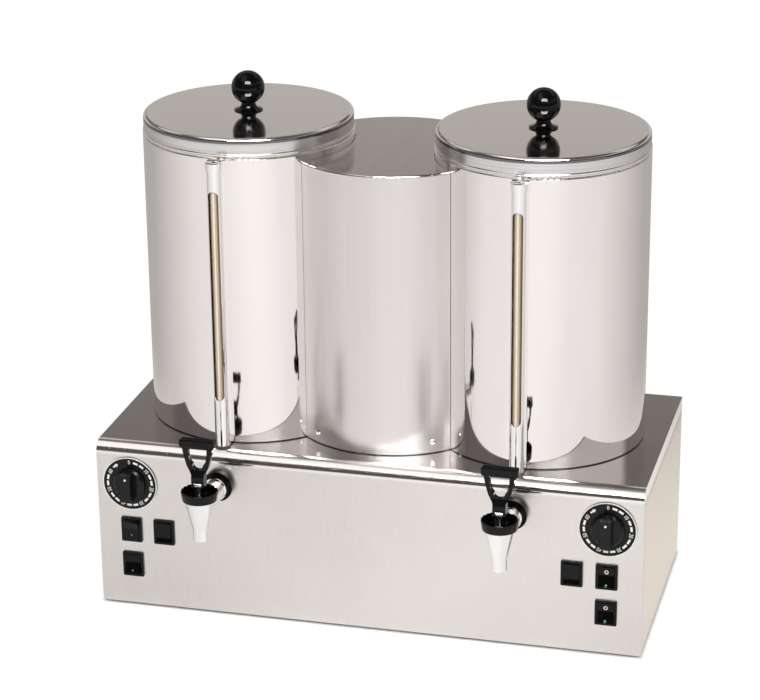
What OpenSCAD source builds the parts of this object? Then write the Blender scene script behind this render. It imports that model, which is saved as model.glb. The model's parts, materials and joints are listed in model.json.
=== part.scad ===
// Twin coffee urn: a steel base with two mirror jackets, a boiler tower between them, two taps,
// two sight gauges, two timers and six rocker switches. Millimetres, +Z up, front towards -Y,
// origin on the ground under the middle of the whole outline.

/* [Base] */
// Width of the base box
base_width = 640; // [580:5:720]
// Depth of the base box
base_depth = 290; // [285:1:330]
// Height of the base box above its feet
base_height = 202; // [200:1:230]
// Thickness of the base's sheet steel
sheet = 1.2; // [0.8:0.1:1.6]
// Outer radius of the bend between front and deck
nose_radius = 14; // [8:1:16]
// Depth of the lips that the deck turns down at its sides
lip_drop = 21; // [12:1:30]
// Width of the flanges that the front turns back round the sides
front_flange = 10; // [6:1:16]
// Visible joint between the cover's lips and the side casing
seam = 0.8; // [0.4:0.1:1.2]
// Height of the rubber feet
foot_height = 3; // [2:0.5:8]
// Diameter of the rubber feet
foot_diameter = 26; // [18:1:32]
// Distance of the feet from the base's edges
foot_inset = 32; // [24:1:60]

/* [Urns] */
// Outer radius of the urn jackets
urn_radius = 122; // [112:1:123]
// Height of the jackets above the deck
urn_height = 341; // [320:1:380]
// Distance of each urn's axis from the middle
urn_pitch = 172; // [166:1:180]
// Distance of the urn axes behind the front panel
urn_setback = 154.5; // [152:0.5:160]
// Thickness of the jackets
jacket_wall = 1; // [0.8:0.1:1.5]
// Radius of the rolled bead on each jacket's rim
rim_bead = 1.6; // [1.2:0.1:2]
// Outer radius of the coffee vessels
vessel_radius = 106; // [96:1:108]
// Thickness of the vessels
vessel_wall = 1.2; // [0.8:0.1:1.6]
// Height of the vessel floors above the deck
vessel_floor = 24; // [22:1:36]
// Bend radius between a vessel's floor and wall
vessel_bend = 14; // [8:1:20]
// Height of the vessel's neck above its rim flange
neck_height = 7; // [5:0.5:9]
// Distance of the coffee outlet in front of the urn axis
outlet_offset = 62; // [50:1:70]

/* [Lids] */
// Height of a lid from its bead to its flat top
lid_height = 20.5; // [15:0.5:24]
// Bend radius of a lid's shoulder
lid_shoulder = 4; // [3:0.5:9]
// Radius of the rolled bead on a lid's edge
lid_bead = 1.6; // [1:0.1:1.8]
// Radius of the ball knobs
ball_radius = 19.2; // [16:0.1:22]
// Height of a ball's centre above the lid
ball_height = 26.8; // [25:0.1:32]
// Radius of a knob's foot disc
knob_foot = 16.5; // [14:0.5:20]
// Radius of a knob's neck
knob_neck = 8; // [6:0.5:9]

/* [Tower] */
// Radius of the tower's curved faces
tower_radius = 121; // [114:1:124]
// Height of the tower above the deck
tower_height = 332; // [300:1:340]
// Edge radius of the tower's top plate
tower_edge = 2.4; // [1.5:0.1:3]
// Distance of the tower's screws from its middle
tower_screw_offset = 67.7; // [60:0.1:72]
// Height of the tower's screws above the deck
tower_screw_height = 13.5; // [10:0.5:20]
// Radius of the boiler tank
boiler_radius = 40; // [36:1:42]
// Space between the boiler tank and the tower's top
boiler_space = 32; // [28:1:72]

/* [Gauges] */
// Outer radius of the round front of a gauge channel
channel_radius = 8.5; // [7.6:0.1:9]
// Thickness of the channels
channel_wall = 1; // [0.8:0.1:1.2]
// Distance of a gauge tube's axis from the jacket
gauge_standoff = 12.5; // [12:0.5:15]
// Outer radius of the glass tubes
tube_radius = 6; // [5:0.1:6.2]
// Bore radius of the glass tubes
tube_bore = 4; // [3:0.1:4.4]
// Width of the sight slot
slot_width = 11.8; // [8:0.1:12.4]
// Height of the slot's lower end above the deck
slot_bottom = 59; // [45:1:80]
// Height of the slot's upper end above the deck
slot_top = 308; // [280:1:316]
// Height of the clips at the top of the channels
clip_height = 8.5; // [6:0.5:12]

/* [Taps] */
// Distance of the tap axes below the deck
tap_drop = 39.5; // [36:0.5:60]
// Distance of the spouts in front of the panel
tap_reach = 70; // [60:1:85]
// Radius of the collars on the panel
collar_radius = 18; // [17:0.5:22]
// Thickness of a collar's widest ring
collar_depth = 7.5; // [5:0.5:9]
// Radius of a tap's level body
tap_radius = 12.5; // [12:0.1:13]
// Radius of the top of the spout cone
cone_radius = 17; // [16:0.1:17.5]
// Radius of the spout's straight end
spout_radius = 8.5; // [8:0.1:10]
// Bore radius of the spout
spout_bore = 6; // [5:0.1:6.5]
// Length of the spout below the tap axis
spout_drop = 37.5; // [34:0.5:46]
// Length of the spout's straight end
spout_straight = 12.5; // [10:0.5:20]
// Radius of the bonnet's rim
bonnet_radius = 21; // [19:0.5:24]
// Height of the bonnet's rim
bonnet_height = 10.5; // [9:0.5:12]
// Height of the bonnet's lower face above the tap axis
bonnet_rise = 12; // [11.5:0.5:16]
// Number of grips round the bonnet's rim
bonnet_grips = 20; // [12:1:28]
// Width of a lever's crossbar
lever_width = 41; // [36:1:48]
// Height of a lever's crossbar above its pin
lever_height = 51; // [46:1:60]
// How far a lever swings forward, in degrees
lever_swing = 40; // [20:5:40]

/* [Timers] */
// Distance of the timers from the base's sides
timer_inset = 40; // [36:1:50]
// Radius of the dials
dial_radius = 33; // [28:0.5:33]
// Radius of the timer knobs
timer_knob_radius = 19; // [16:0.5:20]
// Width of a knob's grip
grip_width = 12; // [9:0.5:14]
// Height of a knob's grip
grip_height = 11; // [8:0.5:14]

/* [Switches] */
// Width of a switch bezel
bezel_width = 25.2; // [24:0.1:27]
// Height of a switch bezel
bezel_height = 30.8; // [30:0.1:34]
// Thickness of a switch bezel
bezel_depth = 2; // [1.5:0.1:2.5]
// Distance of the push switches from the timers, towards the middle
push_pitch = 39.5; // [32:0.5:44]
// Space between a dial and the switch under it
switch_space = 9.6; // [7:0.1:14]
// Width of a rocker
rocker_width = 17.6; // [16:0.1:18]
// Height of a rocker
rocker_height = 25.4; // [23:0.1:26]
// How far a rocker leans from level, in degrees
rocker_lean = 10; // [6:1:12]

/* [Hidden] */
$fn = 72;

left = -1;
right = 1;
sides = [left, right];

// Clearances and small shared sizes
over = 1;
gap = 0.3;
fit_gap = 0.05;
hole_gap = 0.4;
vessel_rim = 1.7;
timer_share = 0.7574;

// Heights and depths that the pieces share
gland_length = 15;
panel_y = (tap_reach + bonnet_radius - base_depth - gland_length) / 2;
box_z = foot_height;
deck_z = foot_height + base_height;
back_y = panel_y + base_depth;
urn_y = panel_y + urn_setback;
rim_z = deck_z + urn_height;
lid_z = rim_z + vessel_rim + gap;
tap_z = deck_z - tap_drop;
tap_y = panel_y - tap_reach;
timer_x = base_width / 2 - timer_inset;
timer_z = box_z + timer_share * base_height;
gauge_y = urn_y - urn_radius - gauge_standoff;
shank_length = gauge_y - panel_y - tube_bore - hole_gap;

// Base sheet and its fittings
casing_shelf = 12;
gland_inset = 120;
tray_lip = 12;
foot_chamfer = 0.8;
foot_pin = 3;
gland_x = gland_inset - base_width / 2;
gland_z = 45;
gland_radius = 12;
gland_bore = 5;
gland_nut = 5;
inlet_radius = 13.2;
inlet_bore = 6;
valve_length = 46;
valve_width = 34;
coil_radius = 14;
coil_height = 30;
block_size = [70, 22, 26];
block_ways = 6;
block_screw = 2.5;

// Tower, boiler and transfer pipes
boiler_height = tower_height - boiler_space;
element_space = 110;
thermostat_space = 90;
tower_gap = 0.4;
top_lip = 8;
screw_head = 3.2;
screw_dome = 1.4;
screw_shank = 1.6;
tank_wall = 1.5;
tank_dome = 18;
tank_skirt = 8;
element_radius = 3.5;
element_span = 12;
element_height = boiler_height - element_space;
element_boss = element_span + element_radius + 1.5 * tank_wall;
element_flange = 21;
element_flange_depth = 4;
inlet_x = element_flange + inlet_bore + gap;
thermostat_radius = 8;
thermostat_depth = 9;
thermostat_height = boiler_height - thermostat_space;
transfer_radius = 5;
transfer_bore = 3.5;
transfer_nut = 9;
transfer_nut_depth = 3;
transfer_z = deck_z + min(boiler_height, urn_height) - tank_dome - transfer_nut;

// Vessel rim, heaters and outlets
jacket_foot = 8;
flange_inset = 1.4;
neck_inset = 3.6;
outlet_radius = 7;
outlet_bore = 5;
outlet_bend = 14;
spud_radius = 11;
spud_depth = 2;
plate_gap = 3;
heater_radius = outlet_offset - spud_radius - plate_gap;
heater_loop = heater_radius - 4 * plate_gap;
heater_depth = 8;
heater_tube = 3.2;
heater_pin = 2;
heater_pin_length = 10;
tee_radius = 14;
tee_length = 40;
tee_socket = 10;
tee_boss = 9.5;
tee_boss_height = 22;

// Gauges
seal_height = 2.6;
seal_radius = 9.2;
seal_neck = 1;
clip_wall = 1.1;
clip_lid_gap = 1;

// Lids
lid_wall = 1.2;
skirt_radius = urn_radius - 0.8 * lid_wall;
lid_top_z = lid_z + lid_height;
knob_foot_depth = 1;
knob_cove = knob_foot - knob_neck;
knob_screw = 3;
knob_screw_depth = 9;
lid_screw_head = 6;
lid_screw_head_depth = 3;

// Taps
shank_radius = 9;
shank_bore = 6.5;
flange_radius = 13.8;
flange_depth = 4;
collar_step = 1.8;
collar_step_depth = 2.2;
collar_end = panel_y - collar_depth - 2 * collar_step_depth;
tap_nut_depth = 6;
tap_nut_radius = 15;
chamber_radius = 9.2;
chamber_floor = 9;
seat_radius = 7.8;
seat_height = 9;
seat_lip = 1.8;
seat_hollow = 1.6;
stem_radius = 3;
bonnet_wall = 2;
bonnet_taper = 1.3;
bonnet_floor = 3;
bonnet_thread = 5;
hub_radius = 9.4;
hub_drop = 3.5;
grip_radius = 2.2;
grip_foot = 4.5;
pin_radius = 1.5;
stem_head = 8;
stem_eye = 4.2;
heel_drop = 9.5;
heel_z = tap_z + bonnet_rise + bonnet_height - hub_drop + gap;
pin_z = heel_z + heel_drop;
yoke_width = 14.8;
yoke_depth = 11;
yoke_crown = 2;
arm_depth = 7;
arm_foot = 14;
arm_rise = 46.5;
arm_spread = 34.6;
crossbar_height = 12;
crossbar_depth = 8.6;
crossbar_round = 3.4;
window_rise = 26;
window_width = 22.4;
lever_edge_shares = [
    [0, -1], [0, 0], [0.07, 0.05], [0.3, 0.18], [0.5, 0.29], [0.72, 0.53], [0.92, 0.78], [1, 0.92], [1, 1]
];
window_edge_shares = [[0.56, 0], [0.74, 0.13], [0.87, 0.3], [0.96, 0.6], [1, 1]];

// Timers
dial_depth = 1.5;
dial_lip = 1.3;
dial_lip_depth = 0.4;
timer_knob_depth = 5;
timer_knob_chamfer = 2;
spindle_radius = 3;
spindle_length = 20;
pointer_dot = 1.5;
pointer_depth = 0.5;
movement_size = 48;
movement_depth = 30;
movement_boss = 7;
movement_corner = 6;

// Switches
bezel_round = 1.6;
opening_gap = 0.3;
housing_depth = 24;
housing_wall = 1.7;
cavity_depth = 13.5;
rocker_tip = 5.2;
rocker_valley = 2.6;
rocker_fold = 2;
rocker_back = 5;
pivot_setback = 0.6;
push_hollow = 46;
push_lean = 6;
trunnion_radius = 1.5;
trunnion_length = 1.3;
tab_width = 6.3;
tab_thick = 0.8;
tab_length = 8;
tab_pitch = 8;
row_share = 0.22;
push_x = timer_x - push_pitch;
upper_z = timer_z - dial_radius - switch_space - bezel_height / 2;
lower_z = upper_z - row_share * base_height;
switch_places = [
    [-timer_x, upper_z], [-timer_x, lower_z], [timer_x, upper_z],
    [timer_x, lower_z], [-push_x, upper_z], [push_x, upper_z]
];
opening_height = rocker_height + 2 * opening_gap;
opening_width = rocker_width + 2 * opening_gap;
housing_width = opening_width + 2 * housing_wall;
housing_height = opening_height + 2 * housing_wall;

// Extrudes a side outline, drawn as depth and height, along X about the middle
module along_x(length) {
    translate([-length / 2, 0, 0])
        rotate([90, 0, 90])
            linear_extrude(length) children();
}

// Extrudes a front outline, drawn as width and height, from y towards the back
module towards_back(y, length) {
    translate([0, y + length, 0])
        rotate([90, 0, 0])
            linear_extrude(length) children();
}

// A cylinder that lies along Y
module bar_y(radius, y, length) {
    translate([0, y, 0])
        rotate([-90, 0, 0])
            cylinder(r = radius, h = length);
}

// A rectangle with round corners about its own middle
module soft_rect(size, radius) {
    square([size.x - 2 * radius, size.y], center = true);
    square([size.x, size.y - 2 * radius], center = true);
    for (x = sides, y = sides)
        translate([x * (size.x / 2 - radius), y * (size.y / 2 - radius)]) circle(radius);
}

// The base's side outline with its round upper front edge
module base_outline(inset) {
    depth = base_depth - inset;
    height = base_height - inset;
    bend = nose_radius - inset;
    translate([inset, 0]) {
        translate([bend, 0]) square([depth - bend, height]);
        square([depth, height - bend]);
        translate([bend, height - bend]) circle(bend);
    }
}

module base_frame() {
    translate([0, panel_y, box_z]) children();
}

// Openings in the front panel
module panel_cuts() {
    for (side = sides) {
        translate([side * urn_pitch, 0, tap_z])
            bar_y(shank_radius + hole_gap, panel_y - over, sheet + 2 * over);
        translate([side * timer_x, 0, timer_z])
            bar_y(spindle_radius + hole_gap, panel_y - over, sheet + 2 * over);
    }
    for (place = switch_places)
        translate([place.x, 0, place.y])
            towards_back(panel_y - over, sheet + 2 * over)
                square([housing_width + hole_gap, housing_height + hole_gap], center = true);
}

// Openings in the deck
module deck_cuts() {
    for (side = sides) {
        translate([side * urn_pitch, gauge_y, deck_z - sheet - over])
            cylinder(r = tube_radius + seal_neck + hole_gap, h = sheet + 2 * over);
        translate([side * urn_pitch, urn_y - outlet_offset, deck_z - sheet - over])
            cylinder(r = outlet_radius + hole_gap, h = sheet + 2 * over);
    }
    translate([inlet_x, urn_y, deck_z - sheet - over])
        cylinder(r = inlet_bore + hole_gap, h = sheet + 2 * over);
}

// Front panel, bent edge and deck in one sheet, with lips turned down round the sides
module cover_sheet() {
    color("gainsboro")
        difference() {
            union() {
                base_frame() along_x(base_width)
                    difference() {
                        base_outline(0);
                        translate([0, -over]) {
                            base_outline(sheet);
                            translate([sheet, 0]) square([base_depth, base_height - nose_radius]);
                        }
                        translate([nose_radius, 0]) square([base_depth, base_height - sheet]);
                    }
                for (side = sides)
                    translate([side * (base_width - sheet) / 2, 0, 0]) base_frame() along_x(sheet)
                        difference() {
                            base_outline(0);
                            translate([front_flange, -over])
                                square([base_depth, base_height - lip_drop + over]);
                        }
            }
            panel_cuts();
            deck_cuts();
        }
}

// Sides and back, flush with the cover's lips, with a shelf that carries the lips
module side_casing() {
    side_front = front_flange + seam;
    side_top = base_height - lip_drop - seam;
    window = base_depth - side_front - 2 * casing_shelf;
    color("silver")
        difference() {
            union() {
                for (side = sides) {
                    translate([side * (base_width - sheet) / 2, 0, 0]) base_frame() along_x(sheet)
                        translate([side_front, 0]) square([base_depth - side_front, side_top]);
                    translate([side * (base_width / 2 - 1.5 * sheet), 0, 0]) base_frame() along_x(sheet)
                        translate([sheet, 0]) difference() {
                            square([base_depth - sheet, base_height - nose_radius]);
                            translate([side_front + casing_shelf, -over])
                                square([window, side_top - casing_shelf]);
                        }
                }
                base_frame() translate([0, base_depth - sheet, 0])
                    translate([-base_width / 2 + sheet, 0, 0])
                        cube([base_width - 2 * sheet, sheet, base_height - sheet]);
            }
            translate([gland_x, 0, box_z + gland_z])
                bar_y(gland_radius - gland_nut / 2, back_y - sheet - over, sheet + 2 * over);
            translate([inlet_x, 0, box_z + gland_z])
                bar_y(inlet_radius + hole_gap, back_y - sheet - over, sheet + 2 * over);
        }
}

// Tray that closes the base from below
module bottom_plate() {
    inside = 2 * sheet + gap;
    width = base_width - 2 * inside;
    depth = base_depth - 2 * inside;
    color("darkgray")
        difference() {
            translate([-width / 2, panel_y + inside, box_z]) cube([width, depth, tray_lip]);
            translate([-width / 2 + sheet, panel_y + inside + sheet, box_z + sheet])
                cube([width - 2 * sheet, depth - 2 * sheet, tray_lip]);
            for (x = sides, y = [panel_y + foot_inset, back_y - foot_inset])
                translate([x * (base_width / 2 - foot_inset), y, box_z - over])
                    cylinder(r = foot_pin + fit_gap, h = sheet + 2 * over);
        }
}

// Four rubber feet, each with a pin through the bottom plate
module feet() {
    color("dimgray")
        for (x = sides, y = [panel_y + foot_inset, back_y - foot_inset])
            translate([x * (base_width / 2 - foot_inset), y, 0]) {
                rotate_extrude() polygon([
                    [0, 0], [foot_diameter / 2 - foot_chamfer, 0], [foot_diameter / 2, foot_chamfer],
                    [foot_diameter / 2, foot_height], [0, foot_height]
                ]);
                translate([0, 0, foot_height - over / 2]) cylinder(r = foot_pin, h = 2 * foot_pin);
            }
}

// Cable gland in the back, with its inner nut
module cable_gland() {
    thread = gland_radius - gland_nut / 2 - fit_gap;
    color("black")
        translate([gland_x, 0, box_z + gland_z])
            difference() {
                union() {
                    bar_y(gland_radius, back_y, gland_length / 3);
                    bar_y(gland_radius - sheet, back_y, gland_length);
                    bar_y(thread, back_y - 2 * gland_nut, 2 * gland_nut + over);
                    translate([0, back_y - sheet - gland_nut, 0]) rotate([-90, 0, 0])
                        cylinder(r = gland_radius + sheet, h = gland_nut, $fn = 6);
                }
                bar_y(gland_bore, back_y - 2 * gland_nut - over, gland_length + 2 * gland_nut + 2 * over);
            }
}

// Supply terminals on the bottom plate behind the gland
module terminal_block() {
    way = block_size.x / block_ways;
    color("ivory")
        translate([gland_x - block_size.x / 2, back_y - 3 * block_size.y, box_z + sheet])
            difference() {
                cube(block_size);
                for (i = [0:block_ways - 1]) {
                    translate([way * (i + 0.5), block_size.y / 2, block_size.z / 2])
                        cylinder(r = block_screw, h = block_size.z);
                    translate([way * (i + 0.5), -over, block_size.z / 3]) rotate([-90, 0, 0])
                        cylinder(r = block_screw, h = block_size.y + 2 * over);
                }
            }
}

// Water inlet, its solenoid valve and the pipe up to the boiler
module inlet_valve() {
    riser = deck_z + tank_skirt + 2 * tank_wall - box_z - gland_z;
    color("goldenrod")
        translate([inlet_x, 0, box_z + gland_z]) {
            difference() {
                union() {
                    bar_y(inlet_radius, back_y - 3 * sheet, gland_length - over + 3 * sheet);
                    bar_y(inlet_radius + 2 * sheet, back_y - 3 * sheet, 2 * sheet);
                    translate([-valve_width / 2, back_y - 3 * sheet - valve_length, -valve_width / 2])
                        cube([valve_width, valve_length, valve_width]);
                    translate([0, urn_y, 0]) cylinder(r = inlet_bore, h = riser);
                    bar_y(inlet_bore, urn_y, back_y - urn_y - valve_length);
                    translate([0, urn_y, 0]) sphere(inlet_bore);
                }
                bar_y(inlet_bore, back_y - valve_length / 2, valve_length);
            }
            translate([0, back_y - 3 * sheet - valve_length / 2, valve_width / 2])
                cylinder(r = coil_radius, h = coil_height);
        }
}

// The tower's plan: a round column with a hollow on each side that follows the urn
module tower_plan(inset) {
    difference() {
        circle(tower_radius - inset);
        for (side = sides)
            translate([side * urn_pitch, 0]) circle(urn_radius + tower_gap + inset);
    }
}

module tower_skin(front) {
    difference() {
        translate([0, urn_y, deck_z]) linear_extrude(tower_height - tower_edge)
            difference() {
                tower_plan(0);
                tower_plan(sheet);
                translate([-tower_radius - over, front ? 0 : -tower_radius - over])
                    square([2 * (tower_radius + over), tower_radius + over]);
            }
        for (side = sides)
            translate([0, urn_y, transfer_z]) rotate([0, side * 90, 0])
                cylinder(r = transfer_radius + hole_gap, h = tower_radius);
        at_tower_screws() translate([0, 0, -4 * sheet]) cylinder(r = screw_shank + fit_gap, h = 5 * sheet);
    }
}

module tower_front() {
    color("gainsboro") tower_skin(true);
}

module tower_back() {
    color("silver") tower_skin(false);
}

// Top plate with a round edge and a lip inside the skins
module tower_top() {
    top_z = deck_z + tower_height;
    color("silver")
        difference() {
            union() {
                translate([0, urn_y, top_z - tower_edge]) rotate_extrude() {
                    square([tower_radius - tower_edge, tower_edge]);
                    intersection() {
                        translate([tower_radius - tower_edge, 0]) circle(tower_edge);
                        square([tower_radius, tower_edge]);
                    }
                }
                translate([0, urn_y, top_z - tower_edge - top_lip]) linear_extrude(top_lip + over / 2)
                    difference() {
                        tower_plan(sheet + hole_gap / 2);
                        tower_plan(2 * sheet + hole_gap / 2);
                    }
            }
            for (side = sides)
                translate([side * urn_pitch, urn_y, top_z - tower_edge - top_lip - over])
                    cylinder(r = urn_radius + tower_gap, h = tower_edge + top_lip + 2 * over);
        }
}

// The places of the tower's screws, two in front and two behind
module at_tower_screws() {
    turn = asin(tower_screw_offset / tower_radius);
    for (side = sides, face = [0, 180])
        translate([0, urn_y, deck_z + tower_screw_height]) rotate([0, 0, face + side * turn])
            translate([0, -tower_radius, 0]) rotate([90, 0, 0]) children();
}

// Domed screws through the tower's skins
module tower_screws() {
    dome = (screw_head * screw_head + screw_dome * screw_dome) / (2 * screw_dome);
    color("whitesmoke")
        at_tower_screws() {
            rotate_extrude() intersection() {
                translate([0, screw_dome - dome]) circle(dome);
                square([screw_head, screw_dome]);
            }
            translate([0, 0, -3 * sheet]) cylinder(r = screw_shank, h = 3 * sheet + screw_dome / 2);
        }
}

// Boiler tank with dished ends and a skirt that stands on the deck
module boiler_tank() {
    height = boiler_height - tank_skirt;
    color("lightgray")
        translate([0, urn_y, deck_z]) difference() {
            rotate_extrude() difference() {
                union() {
                    square([boiler_radius, boiler_height - tank_dome]);
                    intersection() {
                        square([boiler_radius, boiler_height]);
                        translate([0, boiler_height - tank_dome]) scale_dome(boiler_radius, tank_dome);
                    }
                }
                translate([0, tank_skirt + tank_wall]) {
                    square([boiler_radius - tank_wall, height - tank_dome - tank_wall]);
                    translate([0, height - tank_dome - tank_wall])
                        scale_dome(boiler_radius - tank_wall, tank_dome - tank_wall);
                }
                translate([0, -over]) square([boiler_radius - tank_wall, tank_skirt + over]);
            }
            translate([0, 0, tank_skirt - over])
                cylinder(r = element_boss + fit_gap, h = tank_wall + 2 * over);
            translate([inlet_x, 0, tank_skirt - over])
                cylinder(r = inlet_bore + fit_gap, h = tank_wall + 2 * over);
            for (side = sides)
                translate([0, 0, transfer_z - deck_z]) rotate([0, side * 90, 0])
                    cylinder(r = transfer_radius + fit_gap, h = boiler_radius + over);
        }
}

// A cap of a large circle that is as wide and as high as asked
module scale_dome(width, height) {
    reach = (width * width + height * height) / (2 * height);
    intersection() {
        translate([0, height - reach]) circle(reach);
        square([width, height]);
    }
}

// Immersion heater: a hairpin on a flange under the tank
module boiler_element() {
    color("dimgray")
        translate([0, urn_y, deck_z + tank_skirt]) {
            cylinder(r = element_boss, h = tank_wall + over);
            translate([0, 0, -element_flange_depth])
                cylinder(r = element_flange, h = element_flange_depth);
            for (side = sides)
                translate([side * element_span, 0, 0]) cylinder(r = element_radius, h = element_height);
            translate([0, 0, element_height]) rotate([90, 0, 0])
                rotate_extrude(angle = 180) translate([element_span, 0]) circle(element_radius);
        }
}

// Snap-disc thermostat on the tank's side
module boiler_thermostat() {
    color("sienna")
        translate([0, urn_y - boiler_radius, deck_z + thermostat_height]) rotate([90, 0, 0]) {
            cylinder(r = thermostat_radius, h = thermostat_depth);
            linear_extrude(sheet) difference() {
                soft_rect([3.6 * thermostat_radius, thermostat_radius], thermostat_radius / 3);
                for (side = sides) translate([side * 1.45 * thermostat_radius, 0]) circle(pin_radius);
            }
        }
}

// Short pipes that carry hot water from the boiler into the vessels
module transfer_pipes() {
    reach = urn_pitch - vessel_radius + 3 * vessel_wall - boiler_radius + tank_wall;
    color("peru")
        for (side = sides)
            translate([side * (boiler_radius - tank_wall), urn_y, transfer_z]) rotate([0, side * 90, 0])
                difference() {
                    union() {
                        cylinder(r = transfer_radius, h = reach);
                        translate([0, 0, tank_wall + fit_gap])
                            cylinder(r = transfer_nut, h = transfer_nut_depth, $fn = 6);
                    }
                    translate([0, 0, -over]) cylinder(r = transfer_bore, h = reach + 2 * over);
                }
}

// Where the transfer pipe goes through an urn's walls
module transfer_cut(side) {
    translate([side * urn_pitch, urn_y, transfer_z]) rotate([0, -side * 90, 0])
        cylinder(r = transfer_radius + hole_gap, h = urn_radius + over);
}

// Mirror jacket with a rolled rim and a foot turned inwards
module jacket(side) {
    color("white")
        difference() {
            translate([side * urn_pitch, urn_y, deck_z]) rotate_extrude() {
                translate([urn_radius - jacket_wall, 0]) square([jacket_wall, urn_height - rim_bead]);
                translate([urn_radius - jacket_foot, 0]) square([jacket_foot, sheet]);
                translate([urn_radius - rim_bead, urn_height - rim_bead]) circle(rim_bead);
            }
            transfer_cut(side);
        }
}

// Coffee vessel: bent floor, wall, a flange on the jacket's rim and a neck for the lid
module vessel(side) {
    flange = urn_radius - flange_inset;
    neck = flange - neck_inset + vessel_wall;
    bend = vessel_bend;
    inner_bend = bend - vessel_wall;
    top = urn_height - vessel_floor;
    color("whitesmoke")
        difference() {
            translate([side * urn_pitch, urn_y, deck_z + vessel_floor]) rotate_extrude() {
                difference() {
                    union() {
                        square([vessel_radius - bend, top]);
                        translate([0, bend]) square([vessel_radius, top - bend]);
                        intersection() {
                            translate([vessel_radius - bend, bend]) circle(bend);
                            square([vessel_radius, bend]);
                        }
                    }
                    translate([0, vessel_wall]) {
                        square([vessel_radius - bend, top]);
                        translate([0, inner_bend]) square([vessel_radius - vessel_wall, top]);
                        intersection() {
                            translate([vessel_radius - bend, inner_bend]) circle(inner_bend);
                            square([vessel_radius, bend]);
                        }
                    }
                }
                translate([vessel_radius - vessel_wall, top])
                    square([flange - vessel_radius + vessel_wall, vessel_rim]);
                translate([neck - vessel_wall, top]) square([vessel_wall, neck_height + vessel_rim]);
            }
            translate([side * urn_pitch, urn_y - outlet_offset, deck_z + vessel_floor - over])
                cylinder(r = outlet_radius + fit_gap, h = vessel_wall + 2 * over);
            transfer_cut(side);
        }
}

// Heating plates under the vessels' floors, each with a ring element and two terminals
module urn_heaters() {
    color("slategray")
        for (side = sides)
            translate([side * urn_pitch, urn_y, deck_z + vessel_floor - heater_depth]) {
                cylinder(r = heater_radius, h = heater_depth);
                rotate_extrude() translate([heater_loop, 0]) circle(heater_tube);
                for (end = sides)
                    translate([end * 2 * heater_tube, heater_loop, -heater_pin_length])
                        cylinder(r = heater_pin, h = heater_pin_length);
            }
}

// Coffee pipes from the vessels' floors down through the deck and forward to the tees
module outlet_pipes() {
    top_z = deck_z + vessel_floor + vessel_wall;
    run_y = urn_y - outlet_offset;
    tee_back = panel_y + sheet + tap_nut_depth + gap + tee_length;
    color("peru")
        for (side = sides) translate([side * urn_pitch, 0, 0]) {
            translate([0, run_y, tap_z + outlet_bend])
                ring(outlet_radius, outlet_bore, top_z + spud_depth - tap_z - outlet_bend);
            translate([0, run_y, top_z]) ring(spud_radius, outlet_bore, spud_depth);
            translate([0, run_y, top_z - vessel_wall - spud_depth])
                ring(spud_radius, outlet_bore, spud_depth);
            translate([0, run_y - outlet_bend, tap_z + outlet_bend]) rotate([0, 90, 0])
                rotate_extrude(angle = 90) translate([outlet_bend, 0])
                    difference() {
                        circle(outlet_radius);
                        circle(outlet_bore);
                    }
            translate([0, tee_back - tee_socket, tap_z]) rotate([-90, 0, 0])
                ring(outlet_radius, outlet_bore, run_y - outlet_bend - tee_back + tee_socket);
        }
}

// A straight tube
module ring(outer, inner, length) {
    difference() {
        cylinder(r = outer, h = length);
        translate([0, 0, -over]) cylinder(r = inner, h = length + 2 * over);
    }
}

// Brass tees, each joining a tap's shank, a gauge tube and a coffee pipe
module tees() {
    start_y = panel_y + sheet + tap_nut_depth + gap;
    color("goldenrod")
        for (side = sides) translate([side * urn_pitch, 0, tap_z])
            difference() {
                union() {
                    bar_y(tee_radius, start_y, tee_length);
                    translate([0, gauge_y, 0]) cylinder(r = tee_boss, h = tee_boss_height);
                }
                bar_y(shank_radius + fit_gap, start_y - over, panel_y + shank_length - start_y + over);
                bar_y(outlet_bore, start_y - over, tee_length + 2 * over);
                bar_y(outlet_radius + fit_gap, start_y + tee_length - tee_socket, tee_socket + over);
                translate([0, gauge_y, 0]) cylinder(r = tube_bore, h = tee_boss_height + over);
                translate([0, gauge_y, tee_radius])
                    cylinder(r = tube_radius + fit_gap, h = tee_boss_height);
            }
}

// A gauge channel's plan, as if cut at the tube's axis, grown or shrunk by inset
module channel_plan(inset) {
    circle(channel_radius - inset);
    translate([inset - channel_radius, 0])
        square([2 * (channel_radius - inset), gauge_standoff + channel_radius]);
}

// Chrome channel with a long round-ended sight slot, standing on its seal
module channel(side) {
    foot_z = deck_z + seal_height;
    top_z = rim_z - clip_height - clip_lid_gap;
    slot_radius = slot_width / 2;
    color("white")
        difference() {
            translate([side * urn_pitch, gauge_y, foot_z]) linear_extrude(top_z - foot_z)
                difference() {
                    channel_plan(0);
                    channel_plan(channel_wall);
                    translate([0, urn_y - gauge_y]) circle(urn_radius + fit_gap);
                }
            translate([side * urn_pitch, gauge_y, 0]) {
                for (z = [slot_bottom + slot_radius, slot_top - slot_radius])
                    translate([0, 0, deck_z + z]) rotate([90, 0, 0])
                        cylinder(r = slot_radius, h = 2 * channel_radius);
                translate([-slot_radius, -2 * channel_radius, deck_z + slot_bottom + slot_radius])
                    cube([slot_width, 2 * channel_radius, slot_top - slot_bottom - slot_width]);
            }
        }
}

// Glass tube from the tee up to the clip
module gauge_tube(side) {
    foot_z = tap_z + tee_radius;
    color("tan")
        translate([side * urn_pitch, gauge_y, foot_z])
            ring(tube_radius, tube_bore, rim_z - clip_height - clip_lid_gap - foot_z);
}

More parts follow.
